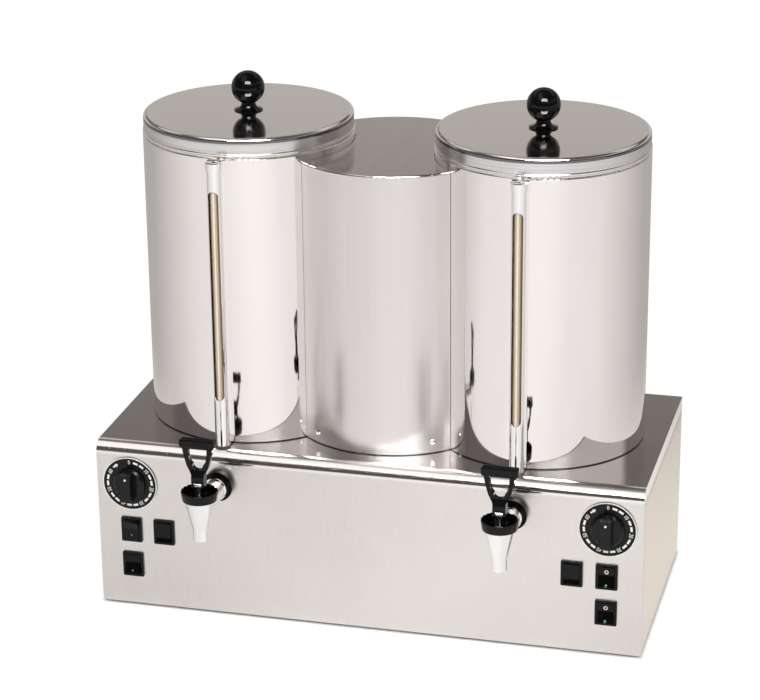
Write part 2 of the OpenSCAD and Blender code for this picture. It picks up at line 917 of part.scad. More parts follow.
// Rubber seals between the channels and the deck, round the tubes
module gauge_seals() {
    color("black")
        for (side = sides)
            translate([side * urn_pitch, gauge_y, deck_z]) {
                ring(seal_radius, tube_radius + fit_gap, seal_height);
                translate([0, 0, -2 * sheet])
                    ring(tube_radius + seal_neck, tube_radius + fit_gap, 2 * sheet + over);
            }
}

// Clips that close the channels under the lids
module gauge_clips() {
    top_z = rim_z - clip_lid_gap;
    color("white")
        for (side = sides)
            translate([side * urn_pitch, gauge_y, top_z - clip_height])
                linear_extrude(clip_height) difference() {
                    channel_plan(-clip_wall);
                    circle(tube_bore / 2);
                    translate([0, urn_y - gauge_y]) circle(urn_radius + fit_gap);
                }
}

// Lid with a round shoulder, a skirt and a rolled bead
module lid(side) {
    bend = lid_shoulder;
    color("silver")
        translate([side * urn_pitch, urn_y, lid_z]) rotate_extrude() {
            difference() {
                union() {
                    square([skirt_radius - bend, lid_height]);
                    square([skirt_radius, lid_height - bend]);
                    translate([skirt_radius - bend, lid_height - bend]) circle(bend);
                }
                translate([0, -over]) {
                    square([skirt_radius - bend, lid_height - lid_wall + over]);
                    square([skirt_radius - lid_wall, lid_height - bend + over]);
                    translate([skirt_radius - bend, lid_height - bend + over]) circle(bend - lid_wall);
                }
                square([knob_screw + fit_gap, lid_height + over]);
            }
            translate([urn_radius - lid_bead, lid_bead]) circle(lid_bead);
        }
}

// Ball knob on a coved foot
module knob(side) {
    color("black")
        translate([side * urn_pitch, urn_y, lid_top_z]) rotate_extrude() difference() {
            union() {
                difference() {
                    square([knob_foot, knob_foot_depth + knob_cove]);
                    translate([knob_foot, knob_foot_depth + knob_cove]) circle(knob_cove);
                }
                square([knob_neck, ball_height]);
                intersection() {
                    translate([0, ball_height]) circle(ball_radius);
                    square([ball_radius, ball_height + ball_radius]);
                }
            }
            square([knob_screw + fit_gap, knob_screw_depth + hole_gap]);
        }
}

// Screw that holds a knob from under its lid
module lid_screw(side) {
    color("silver")
        translate([side * urn_pitch, urn_y, lid_top_z - lid_wall]) {
            cylinder(r = knob_screw, h = knob_screw_depth + lid_wall);
            translate([0, 0, -lid_screw_head_depth])
                cylinder(r = lid_screw_head, h = lid_screw_head_depth);
        }
}

module tap_frame(side) {
    translate([side * urn_pitch, tap_y, tap_z]) children();
}

// Tap body: level inlet, valve chamber and tapered spout
module tap_body(side) {
    cone_end = spout_straight - spout_drop;
    inlet_length = tap_reach + shank_length;
    color("white")
        tap_frame(side) difference() {
            union() {
                rotate_extrude() polygon([
                    [0, -spout_drop], [spout_radius, -spout_drop], [spout_radius, cone_end],
                    [cone_radius, bonnet_rise - gap], [0, bonnet_rise - gap]
                ]);
                bar_y(tap_radius, 0, collar_end - tap_y);
                bar_y(flange_radius, collar_end - tap_y - flange_depth, flange_depth);
                bar_y(shank_radius, 0, inlet_length);
            }
            translate([0, 0, -chamber_floor])
                cylinder(r = chamber_radius, h = chamber_floor + bonnet_rise + over);
            translate([0, 0, -spout_drop - over]) cylinder(r = spout_bore, h = spout_drop + 2 * over);
            bar_y(shank_bore, 0, inlet_length + over);
            translate([0, 0, bonnet_rise - gap]) cylinder(r = bonnet_radius + gap, h = bonnet_height);
        }
}

// Stepped plastic collars between the panel and the taps
module tap_collars() {
    bore = shank_radius + fit_gap;
    color("black")
        for (side = sides)
            translate([side * urn_pitch, panel_y, tap_z]) rotate([90, 0, 0]) rotate_extrude()
                translate([bore, 0])
                    for (i = [0:2])
                        square([
                            collar_radius - i * collar_step - bore, collar_depth + i * collar_step_depth
                        ]);
}

// Hexagon nuts that hold the taps from behind the panel
module tap_nuts() {
    color("silver")
        for (side = sides)
            translate([side * urn_pitch, panel_y + sheet, tap_z]) rotate([-90, 0, 0])
                difference() {
                    cylinder(r = tap_nut_radius, h = tap_nut_depth, $fn = 6);
                    translate([0, 0, -over])
                        cylinder(r = shank_radius + fit_gap, h = tap_nut_depth + 2 * over);
                }
}

// Bonnet: a tapered rim with grips round its crown, a hub in its dish and a threaded skirt
module bonnet(side) {
    inner = bonnet_radius - bonnet_wall;
    color("black")
        tap_frame(side) translate([0, 0, bonnet_rise]) difference() {
            union() {
                rotate_extrude() polygon([
                    [0, 0], [bonnet_radius - bonnet_taper, 0], [bonnet_radius, bonnet_height],
                    [inner, bonnet_height], [inner - bonnet_taper / 2, bonnet_floor],
                    [hub_radius, bonnet_floor], [hub_radius, bonnet_height - hub_drop],
                    [0, bonnet_height - hub_drop]
                ]);
                translate([0, 0, -bonnet_thread])
                    cylinder(r = chamber_radius - fit_gap, h = bonnet_thread + bonnet_floor / 2);
            }
            translate([0, 0, -bonnet_thread - over]) cylinder(r = seat_radius, h = bonnet_thread + over);
            translate([0, 0, -over]) cylinder(r = stem_radius + fit_gap, h = bonnet_height + over);
            for (i = [0:bonnet_grips - 1])
                rotate([0, 0, 360 / bonnet_grips * (i + 0.5)])
                    translate([bonnet_radius + grip_radius / 2, 0, grip_foot])
                        cylinder(r = grip_radius, h = bonnet_height, $fn = 24);
        }
}

// Valve stem with an eye at its top and the lever's cross pin
module stem(side) {
    foot_z = tap_z - chamber_floor + seat_height / 2;
    color("gray")
        translate([side * urn_pitch, tap_y, 0]) {
            translate([0, 0, foot_z]) cylinder(r = stem_radius, h = pin_z - foot_z);
            translate([-stem_head / 2, 0, pin_z]) rotate([0, 90, 0]) cylinder(r = stem_eye, h = stem_head);
            translate([-yoke_width / 2, 0, pin_z]) rotate([0, 90, 0])
                cylinder(r = pin_radius, h = yoke_width);
        }
}

// Silicone cup that closes the spout
module seat(side) {
    lift = gap / 2;
    color("whitesmoke")
        tap_frame(side) translate([0, 0, lift - chamber_floor]) rotate_extrude() difference() {
            intersection() {
                square([seat_radius, seat_height]);
                translate([0, seat_height - 2 * seat_radius]) circle(2 * seat_radius);
            }
            translate([0, seat_height / 2 - lift - fit_gap]) square([stem_radius + fit_gap, seat_height]);
            square([seat_radius - seat_lip, seat_hollow]);
        }
}

// Points on both sides of the middle, up the right and down the left
function mirrored(edge) = concat(edge, [for (i = [len(edge) - 1:-1:0]) [-edge[i].x, edge[i].y]]);

// The lever seen from the front: yoke, two arms and the crossbar round a finger window
module lever_front() {
    half = yoke_width / 2;
    spread = arm_spread / 2;
    rise = arm_rise - arm_foot;
    window_end = lever_height - crossbar_height / 2;
    foot = window_width / 2 * window_edge_shares[0].x;
    difference() {
        union() {
            polygon(mirrored([
                for (p = lever_edge_shares)
                    [half + (spread - half) * p.x, p.y < 0 ? -heel_drop : arm_foot + rise * p.y]
            ]));
            translate([0, lever_height]) soft_rect([lever_width, crossbar_height], crossbar_round);
        }
        translate([0, window_rise]) circle(foot);
        polygon(mirrored([
            for (p = window_edge_shares)
                [window_width / 2 * p.x, window_rise + (window_end - window_rise) * p.y]
        ]));
    }
}

// The lever seen from the side: a deep yoke, thin arms and a round-edged crossbar
module lever_side() {
    yoke = yoke_depth / 2;
    arm = arm_depth / 2;
    polygon([
        [-yoke, -heel_drop], [yoke, -heel_drop], [yoke, arm_foot - yoke / 2], [arm, arm_foot + yoke],
        [arm, lever_height], [-arm, lever_height], [-arm, arm_foot + yoke], [-yoke, arm_foot - yoke / 2]
    ]);
    translate([0, lever_height]) soft_rect([crossbar_depth, crossbar_height], crossbar_round);
}

// Lever whose heel rests on the bonnet's hub and whose yoke turns on the stem's pin
module lever(side) {
    slot = stem_head + 2 * gap;
    slot_rise = stem_eye + yoke_crown;
    color("black")
        translate([side * urn_pitch, tap_y, pin_z]) difference() {
            intersection() {
                towards_back(-yoke_depth, 2 * yoke_depth) lever_front();
                along_x(lever_width + 2 * over) lever_side();
            }
            translate([-slot / 2, -yoke_depth, -heel_drop - over])
                cube([slot, 2 * yoke_depth, heel_drop + slot_rise + over]);
            translate([-yoke_width, 0, 0]) rotate([0, 90, 0])
                cylinder(r = pin_radius + fit_gap, h = 2 * yoke_width);
        }
}

// Dial disc with a raised edge
module dial(side) {
    color("black")
        translate([side * timer_x, panel_y, timer_z]) rotate([90, 0, 0]) rotate_extrude()
            translate([spindle_radius + hole_gap, 0]) {
                square([dial_radius - spindle_radius - hole_gap, dial_depth - dial_lip_depth]);
                translate([dial_radius - spindle_radius - hole_gap - dial_lip, 0])
                    square([dial_lip, dial_depth]);
            }
}

// Timer knob: a chamfered skirt, an upright grip with a pointer dot, and the spindle
module timer_knob(side) {
    front = timer_knob_depth + grip_height;
    color("black")
        translate([side * timer_x, panel_y - dial_depth - gap, timer_z]) rotate([90, 0, 0]) difference() {
            union() {
                rotate_extrude() polygon([
                    [0, 0], [timer_knob_radius, 0],
                    [timer_knob_radius, timer_knob_depth - timer_knob_chamfer],
                    [timer_knob_radius - timer_knob_chamfer, timer_knob_depth], [0, timer_knob_depth]
                ]);
                intersection() {
                    along_x(grip_width) grip_side(front);
                    cylinder(r = timer_knob_radius - gap, h = front);
                }
                translate([0, 0, -spindle_length]) cylinder(r = spindle_radius, h = spindle_length + over);
            }
            translate([0, timer_knob_radius - 4 * timer_knob_chamfer, front - pointer_depth])
                cylinder(r = pointer_dot, h = pointer_depth + over);
        }
}

// A grip's side outline with sloped ends
module grip_side(front) {
    polygon([
        [-timer_knob_radius, 0], [timer_knob_radius, 0], [timer_knob_radius, timer_knob_depth],
        [timer_knob_radius - timer_knob_chamfer, front], [timer_knob_chamfer - timer_knob_radius, front],
        [-timer_knob_radius, timer_knob_depth]
    ]);
}

// Clockwork movements behind the panel
module timer_movements() {
    color("tan")
        for (side = sides)
            translate([side * timer_x, 0, timer_z]) difference() {
                union() {
                    towards_back(panel_y + sheet + movement_boss / 2, movement_depth)
                        soft_rect([movement_size, movement_size], movement_corner);
                    bar_y(movement_boss, panel_y + sheet, movement_boss);
                }
                bar_y(spindle_radius + fit_gap, panel_y - over, spindle_length + over);
            }
}

// One switch housing: bezel, body with the rocker's cavity and two terminals
module switch_housing() {
    color("black") {
        difference() {
            union() {
                towards_back(panel_y - bezel_depth, bezel_depth)
                    soft_rect([bezel_width, bezel_height], bezel_round);
                towards_back(panel_y, housing_depth) square([housing_width, housing_height], center = true);
            }
            towards_back(panel_y - bezel_depth - over, bezel_depth + cavity_depth + over)
                square([opening_width, opening_height], center = true);
            translate([0, panel_y + pivot_setback, 0])
                along_x(opening_width + 2 * (trunnion_length + fit_gap)) circle(trunnion_radius + fit_gap);
        }
        for (side = sides)
            translate([-tab_width / 2, panel_y + housing_depth, side * tab_pitch / 2 - tab_thick / 2])
                cube([tab_width, tab_length, tab_thick]);
    }
}

module switch_housings() {
    for (place = switch_places)
        translate([place.x, 0, place.y]) switch_housing();
}

// A rocker's body about its pivot: round ends that keep clear at every lean, and stub pins
module rocker_body(place, lean) {
    color("black")
        translate([place.x, panel_y + pivot_setback, place.y]) rotate([lean, 0, 0]) {
            along_x(rocker_width) intersection() {
                circle(rocker_height / 2);
                children();
            }
            along_x(opening_width + 2 * trunnion_length) circle(trunnion_radius);
        }
}

// Rocker with two faces that meet in a shallow valley
module rocker(place, lean) {
    half = rocker_height / 2;
    tip = -rocker_tip - pivot_setback;
    rocker_body(place, lean)
        polygon([
            [rocker_back, -half], [tip, -half], [-rocker_valley - pivot_setback, rocker_fold],
            [tip, half], [rocker_back, half]
        ]);
}

// Push switch with one hollow face
module push(place) {
    half = rocker_height / 2;
    face = -rocker_tip - pivot_setback;
    setback = push_hollow * cos(asin(half / push_hollow));
    rocker_body(place, -push_lean)
        difference() {
            translate([face, -half]) square([rocker_back - face, rocker_height]);
            translate([face - setback, 0]) circle(push_hollow, $fn = 240);
        }
}

cover_sheet();
side_casing();
bottom_plate();
feet();
cable_gland();
terminal_block();
inlet_valve();
tower_front();
tower_back();
tower_top();
tower_screws();
boiler_tank();
boiler_element();
boiler_thermostat();
transfer_pipes();
jacket(left);  // jacket_left
jacket(right);  // jacket_right
vessel(left);  // vessel_left
vessel(right);  // vessel_right
urn_heaters();
outlet_pipes();
tees();
channel(left);  // channel_left
channel(right);  // channel_right
gauge_tube(left);  // gauge_tube_left
gauge_tube(right);  // gauge_tube_right
gauge_seals();
gauge_clips();
lid(left);  // lid_left
lid(right);  // lid_right
knob(left);  // knob_left
knob(right);  // knob_right
lid_screw(left);  // lid_screw_left
lid_screw(right);  // lid_screw_right
tap_body(left);  // tap_body_left
tap_body(right);  // tap_body_right
tap_collars();
tap_nuts();
bonnet(left);  // bonnet_left
bonnet(right);  // bonnet_right
stem(left);  // stem_left
stem(right);  // stem_right
seat(left);  // seat_left
seat(right);  // seat_right
lever(left);  // lever_left
lever(right);  // lever_right
dial(left);  // dial_left
dial(right);  // dial_right
timer_knob(left);  // timer_knob_left
timer_knob(right);  // timer_knob_right
timer_movements();
switch_housings();
rocker(switch_places[0], rocker_lean);  // rocker_left_upper
rocker(switch_places[1], -rocker_lean);  // rocker_left_lower
rocker(switch_places[2], -rocker_lean);  // rocker_right_upper
rocker(switch_places[3], -rocker_lean);  // rocker_right_lower
push(switch_places[4]);  // push_left
push(switch_places[5]);  // push_right
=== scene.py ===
import json
import math
import bmesh
import bpy
from mathutils import Matrix, Vector


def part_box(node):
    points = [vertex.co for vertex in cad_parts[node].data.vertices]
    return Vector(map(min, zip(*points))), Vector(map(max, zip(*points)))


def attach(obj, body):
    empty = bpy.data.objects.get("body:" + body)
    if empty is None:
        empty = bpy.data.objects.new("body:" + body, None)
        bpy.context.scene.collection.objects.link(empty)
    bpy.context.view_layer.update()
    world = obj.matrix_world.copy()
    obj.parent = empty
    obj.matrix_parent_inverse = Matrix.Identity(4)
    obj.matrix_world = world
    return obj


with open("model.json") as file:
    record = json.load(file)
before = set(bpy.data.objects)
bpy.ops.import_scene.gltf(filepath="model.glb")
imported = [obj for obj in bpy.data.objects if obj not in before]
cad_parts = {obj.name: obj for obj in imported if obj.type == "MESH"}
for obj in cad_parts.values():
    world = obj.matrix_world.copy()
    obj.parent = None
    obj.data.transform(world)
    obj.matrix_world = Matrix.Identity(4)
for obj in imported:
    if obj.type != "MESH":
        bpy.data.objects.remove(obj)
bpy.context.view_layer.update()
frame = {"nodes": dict(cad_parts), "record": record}  # nodes and record
scene = bpy.context.scene
scene.view_settings.view_transform = "Standard"
print("frame loaded:", len(frame["nodes"]), "nodes")

# the photograph's camera, in metres and radians
camera = {
    "imageSize": (760, 700), "focalPixels": 2617.3, "place": (0.6985, -2.7281, 1.3795),
    "yaw": 0.2530, "pitch": -0.3643, "roll": -0.0098, "sensor": 36.0, "farthest": 50.0,
}


def makeCamera():
    yaw, pitch, roll = camera["yaw"], camera["pitch"], camera["roll"]
    forward = Vector((
        -math.sin(yaw) * math.cos(pitch), math.cos(yaw) * math.cos(pitch), math.sin(pitch)))
    level = Vector((math.cos(yaw), math.sin(yaw), 0.0))
    upright = level.cross(forward)
    right = math.cos(roll) * level + math.sin(roll) * upright
    up = math.cos(roll) * upright - math.sin(roll) * level
    data = bpy.data.cameras.new("photoCamera")
    data.sensor_width = camera["sensor"]
    data.lens = camera["sensor"] * camera["focalPixels"] / camera["imageSize"][0]
    data.clip_end = camera["farthest"]
    thing = bpy.data.objects.new("photoCamera", data)
    turned = Matrix((right, up, -forward)).transposed().to_4x4()
    thing.matrix_world = Matrix.Translation(camera["place"]) @ turned
    scene.collection.objects.link(thing)
    scene.camera = thing


makeCamera()
print("camera made")


class Value:
    # a socket that takes part in sums; each sum adds its Math node
    def __init__(self, sheet, socket):
        self.sheet = sheet
        self.socket = socket

    def __add__(self, other):
        return self.sheet.maths("ADD", self, other)

    def __radd__(self, other):
        return self.sheet.maths("ADD", other, self)

    def __sub__(self, other):
        return self.sheet.maths("SUBTRACT", self, other)

    def __rsub__(self, other):
        return self.sheet.maths("SUBTRACT", other, self)

    def __mul__(self, other):
        return self.sheet.maths("MULTIPLY", self, other)

    def __rmul__(self, other):
        return self.sheet.maths("MULTIPLY", other, self)

    def __truediv__(self, other):
        return self.sheet.maths("DIVIDE", self, other)

    def __rtruediv__(self, other):
        return self.sheet.maths("DIVIDE", other, self)


class Sheet:
    # one node tree: of a material, of the world or of a Geometry Nodes group
    def __init__(self, tree):
        self.tree = tree
        self.tree.nodes.clear()

    def node(self, kind, settings=None, sockets=None):
        made = self.tree.nodes.new(kind)
        for name, setting in (settings or {}).items():
            if name == "stops":
                self.setStops(made.color_ramp, setting)
            else:
                setattr(made, name, setting)
        for name, value in (sockets or {}).items():
            self.feed(made.inputs[name], value)
        return made

    def setStops(self, ramp, stops):
        while len(ramp.elements) < len(stops):
            ramp.elements.new(1.0)
        for element, (place, colour) in zip(ramp.elements, stops):
            element.position = place
            element.color = (*colour, 1.0)

    def feed(self, socket, value):
        if isinstance(value, list):  # a socket that takes many links
            for one in value:
                self.feed(socket, one)
        elif isinstance(value, Value):
            self.tree.links.new(value.socket, socket)
        elif isinstance(value, tuple) and socket.type == "RGBA":
            socket.default_value = (*value, 1.0)
        else:
            socket.default_value = value

    def result(self, kind, settings=None, sockets=None, output=0):
        return Value(self, self.node(kind, settings, sockets).outputs[output])

    def maths(self, operation, first, second=0.0):
        return self.result("ShaderNodeMath", {"operation": operation}, {0: first, 1: second})

    def smooth(self, value, low, high):
        # 0 at low, 1 at high; low may be the larger one
        settings = {"interpolation_type": "SMOOTHSTEP"}
        sockets = {"Value": value, "From Min": low, "From Max": high}
        return self.result("ShaderNodeMapRange", settings, sockets)

    def ramp(self, value, stops):
        return self.result("ShaderNodeValToRGB", {"stops": stops}, {0: value})

    def mix(self, factor, first, second):
        sockets = {0: factor, 6: first, 7: second}
        return self.result("ShaderNodeMix", {"data_type": "RGBA"}, sockets, 2)

    def blend(self, factor, first, second):
        return self.result("ShaderNodeMixShader", None, {0: factor, 1: first, 2: second})

    def place(self):
        return self.result("ShaderNodeTexCoord", None, None, "Object")

    def stretched(self, vector, scales):
        settings = {"operation": "MULTIPLY"}
        return self.result("ShaderNodeVectorMath", settings, {0: vector, 1: scales})

    def parts(self, vector):
        made = self.node("ShaderNodeSeparateXYZ", None, {0: vector})
        return [Value(self, socket) for socket in made.outputs]

    def noise(self, vector, scale=1.0, detail=2.0, roughness=0.5):
        sockets = {"Vector": vector, "Scale": scale, "Detail": detail, "Roughness": roughness}
        return self.result("ShaderNodeTexNoise", None, sockets)

    def bump(self, height, distance):
        sockets = {"Height": height, "Distance": distance, "Strength": 1.0}
        return self.result("ShaderNodeBump", None, sockets)

    def rays(self, *kinds):
        made = self.node("ShaderNodeLightPath")
        total = Value(self, made.outputs[kinds[0]])
        for kind in kinds[1:]:
            total = self.maths("MAXIMUM", total, Value(self, made.outputs[kind]))
        return total


# the room by direction, as polished steel sees it: tones go with the sine of the height, and the
# soft box hangs in front, over the camera; its width and heights are tangents
room = {
    "front": (0.241, -0.970), "side": (0.970, 0.241), "frontEdge": (-0.32, -0.10),
    "behindTones": [
        (0.0, (0.52, 0.50, 0.48)), (0.20, (0.52, 0.50, 0.48)), (0.27, (0.47, 0.45, 0.43)),
        (0.31, (0.40, 0.38, 0.36)), (0.36, (0.105, 0.094, 0.085)), (0.50, (0.09, 0.08, 0.073)),
        (0.56, (0.62, 0.60, 0.58)), (0.74, (0.62, 0.60, 0.58)), (0.80, (0.12, 0.115, 0.11)),
        (0.93, (0.12, 0.115, 0.11)), (1.0, (0.30, 0.29, 0.28)),
    ],
    "frontTones": [
        (0.0, (0.62, 0.60, 0.58)), (0.06, (0.12, 0.115, 0.11)), (0.60, (0.12, 0.115, 0.11)),
        (0.95, (0.08, 0.075, 0.07)), (1.0, (0.30, 0.29, 0.28)),
    ],
    "leftTones": [
        (0.0, (0.62, 0.60, 0.58)), (0.06, (0.08, 0.075, 0.07)), (0.60, (0.08, 0.075, 0.07)),
        (0.69, (1.10, 1.07, 1.05)), (0.955, (1.10, 1.07, 1.05)), (0.99, (0.10, 0.095, 0.09)),
        (1.0, (0.10, 0.095, 0.09)),
    ],
    "leftEdge": (-0.02, -0.18), "leftEnd": (-0.62, -0.38),
    "paleWall": (0.56, 0.535, 0.52), "paleSide": (-0.16, 0.02), "paleFoot": (0.27, 0.35),
    "paleTop": (0.54, 0.46),
    "softBox": 31.0, "boxColour": (1.0, 0.985, 0.98), "boxWidth": 0.46, "boxSide": 0.04,
    "boxLow": 0.68, "boxHigh": 1.36, "boxEdge": 0.03, "boxTopEdge": 0.05, "boxAhead": (0.02, 0.1),
    "diffuse": (1.0, 0.985, 0.97), "diffuseStrength": 0.62,
}


def makeRoom():
    world = bpy.data.worlds.new("studioRoom")
    scene.world = world
    world.use_nodes = True
    sheet = Sheet(world.node_tree)
    x, y, z = sheet.parts(sheet.result("ShaderNodeTexCoord", None, None, "Generated"))
    ahead = x * room["front"][0] + y * room["front"][1]
    beside = x * room["side"][0] + y * room["side"][1]
    behind = sheet.ramp(z, room["behindTones"])
    left = sheet.smooth(beside, *room["leftEdge"]) * sheet.smooth(x, *room["leftEnd"])
    front = sheet.mix(left, sheet.ramp(z, room["frontTones"]), sheet.ramp(z, room["leftTones"]))
    pale = sheet.smooth(beside, *room["paleSide"]) * sheet.smooth(z, *room["paleFoot"])
    pale = pale * sheet.smooth(z, *room["paleTop"])
    front = sheet.mix(pale, front, room["paleWall"])  # what the deck shows at the jackets' feet
    seen = sheet.mix(sheet.smooth(ahead, *room["frontEdge"]), behind, front)
    inside = insideBox(sheet, ahead, beside, z)
    seen = sheet.mix(inside, seen, room["boxColour"])
    light = 1.0 + inside * room["softBox"]
    polished = sheet.result("ShaderNodeBackground", None, {"Color": seen, "Strength": light})
    soft = sheet.result(
        "ShaderNodeBackground", None,
        {"Color": room["diffuse"], "Strength": room["diffuseStrength"]})
    white = sheet.result(
        "ShaderNodeBackground", None, {"Color": (1.0, 1.0, 1.0), "Strength": 1.0})
    mirrors = sheet.blend(sheet.rays("Is Glossy Ray", "Is Transmission Ray"), soft, polished)
    eye = sheet.blend(sheet.rays("Is Camera Ray"), mirrors, white)
    sheet.node("ShaderNodeOutputWorld", None, {0: eye})


def insideBox(sheet, ahead, beside, z):
    # 1 inside the soft box, seen from the object, 0 outside it
    forward = sheet.maths("MAXIMUM", ahead, 0.001)  # so that nothing is divided by zero
    level = sheet.maths("ABSOLUTE", beside / forward - room["boxSide"])
    rise = z / forward
    edge, topEdge = room["boxEdge"], room["boxTopEdge"]
    inside = sheet.smooth(level, room["boxWidth"] + edge, room["boxWidth"] - edge)
    inside = inside * sheet.smooth(rise, room["boxLow"] - edge, room["boxLow"] + edge)
    inside = inside * sheet.smooth(rise, room["boxHigh"] + topEdge, room["boxHigh"] - topEdge)
    return inside * sheet.smooth(ahead, *room["boxAhead"])


makeRoom()
print("room made")

# white towards the camera, greyer to the sides and behind, as the real table's far edges are
floor = {
    "half": 6.0, "towards": (0.241, -0.970), "matte": (0.95, 0.95, 0.95), "glow": 0.88,
    "toCamera": (1.06, 1.06, 1.06),
    "mirrored": [
        (0.0, (0.40, 0.388, 0.378)), (0.22, (0.44, 0.428, 0.418)), (0.62, (0.78, 0.762, 0.748)),
        (0.74, (0.88, 0.863, 0.85)), (0.93, (0.925, 0.91, 0.90)), (1.0, (1.06, 1.034, 1.024)),
    ],
    "nearby": (0.90, 0.85, 0.79), "nearReach": (1.05, 0.45), "nearBehind": (-0.12, 0.02),
    "middleEase": 0.01, "contact": (0.0005, 0.004),
}


def makeFloor():
    data = bpy.data.meshes.new("studioFloor")
    half = floor["half"]
    corners = [(-half, -half, 0), (half, -half, 0), (half, half, 0), (-half, half, 0)]
    data.from_pydata(corners, [], [(0, 1, 2, 3)])
    thing = bpy.data.objects.new("studioFloor", data)
    scene.collection.objects.link(thing)
    material = bpy.data.materials.new("studioFloor")
    material.use_nodes = True
    sheet = Sheet(material.node_tree)
    x, y, z = sheet.parts(sheet.place())
    reach = sheet.maths("SQRT", x * x + y * y + floor["middleEase"])
    facing = (x * floor["towards"][0] + y * floor["towards"][1]) / reach
    mirrored = sheet.ramp(facing * 0.5 + 0.5, floor["mirrored"])  # 0 behind, 1 in front
    beyond = sheet.smooth(reach, *floor["nearReach"]) * sheet.smooth(y, *floor["nearBehind"])
    mirrored = sheet.mix(beyond, mirrored, floor["nearby"])
    seen = sheet.mix(sheet.rays("Is Camera Ray"), mirrored, floor["toCamera"])
    glow = sheet.result("ShaderNodeEmission", None, {"Color": seen, "Strength": 1.0})
    matte = sheet.result("ShaderNodeBsdfDiffuse", None, {"Color": floor["matte"]})
    low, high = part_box("cover_sheet")  # under the base the floor is left to its own shade
    middle, reachY = (low.y + high.y) / 2, (high.y - low.y) / 2
    outX = sheet.maths("ABSOLUTE", x) - high.x
    outY = sheet.maths("ABSOLUTE", y - middle) - reachY
    clear = sheet.smooth(sheet.maths("MAXIMUM", outX, outY), *floor["contact"])
    watched = sheet.rays("Is Camera Ray", "Is Glossy Ray", "Is Transmission Ray")
    share = watched * floor["glow"] * clear
    sheet.node("ShaderNodeOutputMaterial", None, {0: sheet.blend(share, matte, glow)})
    data.materials.append(material)


makeFloor()
print("floor made")

lamps = {
    "keyLamp": {
        "place": (0.75, -1.9, 1.9), "aim": (0.0, 0.0, 0.3), "size": (1.6, 1.0), "power": 30.0,
    },
    "fillLamp": {
        "place": (-1.6, -1.1, 1.8), "aim": (0.0, 0.0, 0.3), "size": (1.4, 1.4), "power": 12.0,
    },
}


def makeLamps():
    for name, lamp in lamps.items():
        data = bpy.data.lights.new(name, "AREA")
        data.shape = "RECTANGLE"
        data.size, data.size_y = lamp["size"]
        data.energy = lamp["power"]
        thing = bpy.data.objects.new(name, data)
        thing.location = lamp["place"]
        sight = Vector(lamp["aim"]) - Vector(lamp["place"])
        thing.rotation_euler = sight.to_track_quat("-Z", "Y").to_euler()
        thing.visible_camera = False
        thing.visible_glossy = False  # polished steel sees the room's soft box instead
        scene.collection.objects.link(thing)


makeLamps()
print("lamps made")


class Finish(Sheet):
    # a principled material; values that are the same all over are set on its own sockets
    names = {
        "colour": "Base Color", "roughness": "Roughness", "metallic": "Metallic",
        "coat": "Coat Weight", "coatRoughness": "Coat Roughness", "normal": "Normal",
        "ior": "IOR", "specular": "Specular IOR Level",
    }

    def __init__(self, name, **fixed):
        self.material = bpy.data.materials.new(name)
        self.material.use_nodes = True
        super().__init__(self.material.node_tree)
        self.shader = self.node("ShaderNodeBsdfPrincipled")
        self.node("ShaderNodeOutputMaterial", None, {0: Value(self, self.shader.outputs[0])})
        self.set(**fixed)

    def set(self, **values):
        for name, value in values.items():
            self.feed(self.shader.inputs[self.names[name]], value)


# painted shade: a dark band painted round the foot of each jacket and of the tower, where they
# stand on the deck
paintedFootShade = {"colour": (0.05, 0.047, 0.045), "none": 0.0018, "full": 0.0008}


def withJoint(finish, place, colour, foot):
    if foot is None:
        return colour
    z = finish.parts(place)[2]
    shade = finish.smooth(z, foot + paintedFootShade["none"], foot + paintedFootShade["full"])
    return finish.mix(shade, colour, paintedFootShade["colour"])


# metals with a grain: streak and fine are the x, y, z scales of the tone streaks and the hairlines
brushedMetals = {
    "towerPolish": {
        "colour": (0.795, 0.762, 0.754), "dark": (0.757, 0.725, 0.717),
        "streak": (260.0, 260.0, 4.0), "fine": (1100.0, 1100.0, 9.0),
        "roughness": 0.29, "spread": 0.03, "depth": 0.000004, "foot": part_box("tower_front")[0].z,
    },
    "capPolish": {
        "colour": (0.70, 0.67, 0.65), "dark": (0.65, 0.62, 0.60),
        "streak": (90.0, 4.0, 90.0), "fine": (700.0, 14.0, 700.0),
        "roughness": 0.15, "spread": 0.05, "depth": 0.000008,
    },
    "casingBrush": {
        "colour": (0.86, 0.80, 0.735), "dark": (0.835, 0.775, 0.71),
        "streak": (320.0, 320.0, 7.0), "fine": (900.0, 900.0, 14.0),
        "roughness": 0.32, "spread": 0.12, "depth": 0.00002,
    },
    "vesselSatin": {
        "colour": (0.84, 0.81, 0.78), "dark": (0.78, 0.75, 0.72),
        "streak": (60.0, 60.0, 160.0), "fine": (400.0, 400.0, 900.0),
        "roughness": 0.34, "spread": 0.12, "depth": 0.00002,
    },
    "zincSheet": {
        "colour": (0.62, 0.63, 0.65), "dark": (0.50, 0.51, 0.53),
        "streak": (40.0, 40.0, 40.0), "fine": (400.0, 400.0, 400.0),
        "roughness": 0.42, "spread": 0.14, "depth": 0.00003,
    },
    "machinedBrass": {
        "colour": (0.76, 0.58, 0.28), "dark": (0.66, 0.49, 0.22),
        "streak": (60.0, 60.0, 60.0), "fine": (700.0, 700.0, 700.0),
        "roughness": 0.26, "spread": 0.12, "depth": 0.00001,
    },
    "drawnCopper": {
        "colour": (0.80, 0.47, 0.31), "dark": (0.62, 0.34, 0.21),
        "streak": (50.0, 50.0, 8.0), "fine": (700.0, 700.0, 20.0),
        "roughness": 0.24, "spread": 0.14, "depth": 0.00001,
    },
    "drawnSteel": {
        "colour": (0.70, 0.69, 0.68), "dark": (0.6, 0.59, 0.58),
        "streak": (60.0, 60.0, 8.0), "fine": (700.0, 700.0, 20.0),
        "roughness": 0.28, "spread": 0.12, "depth": 0.00001,
    },
}

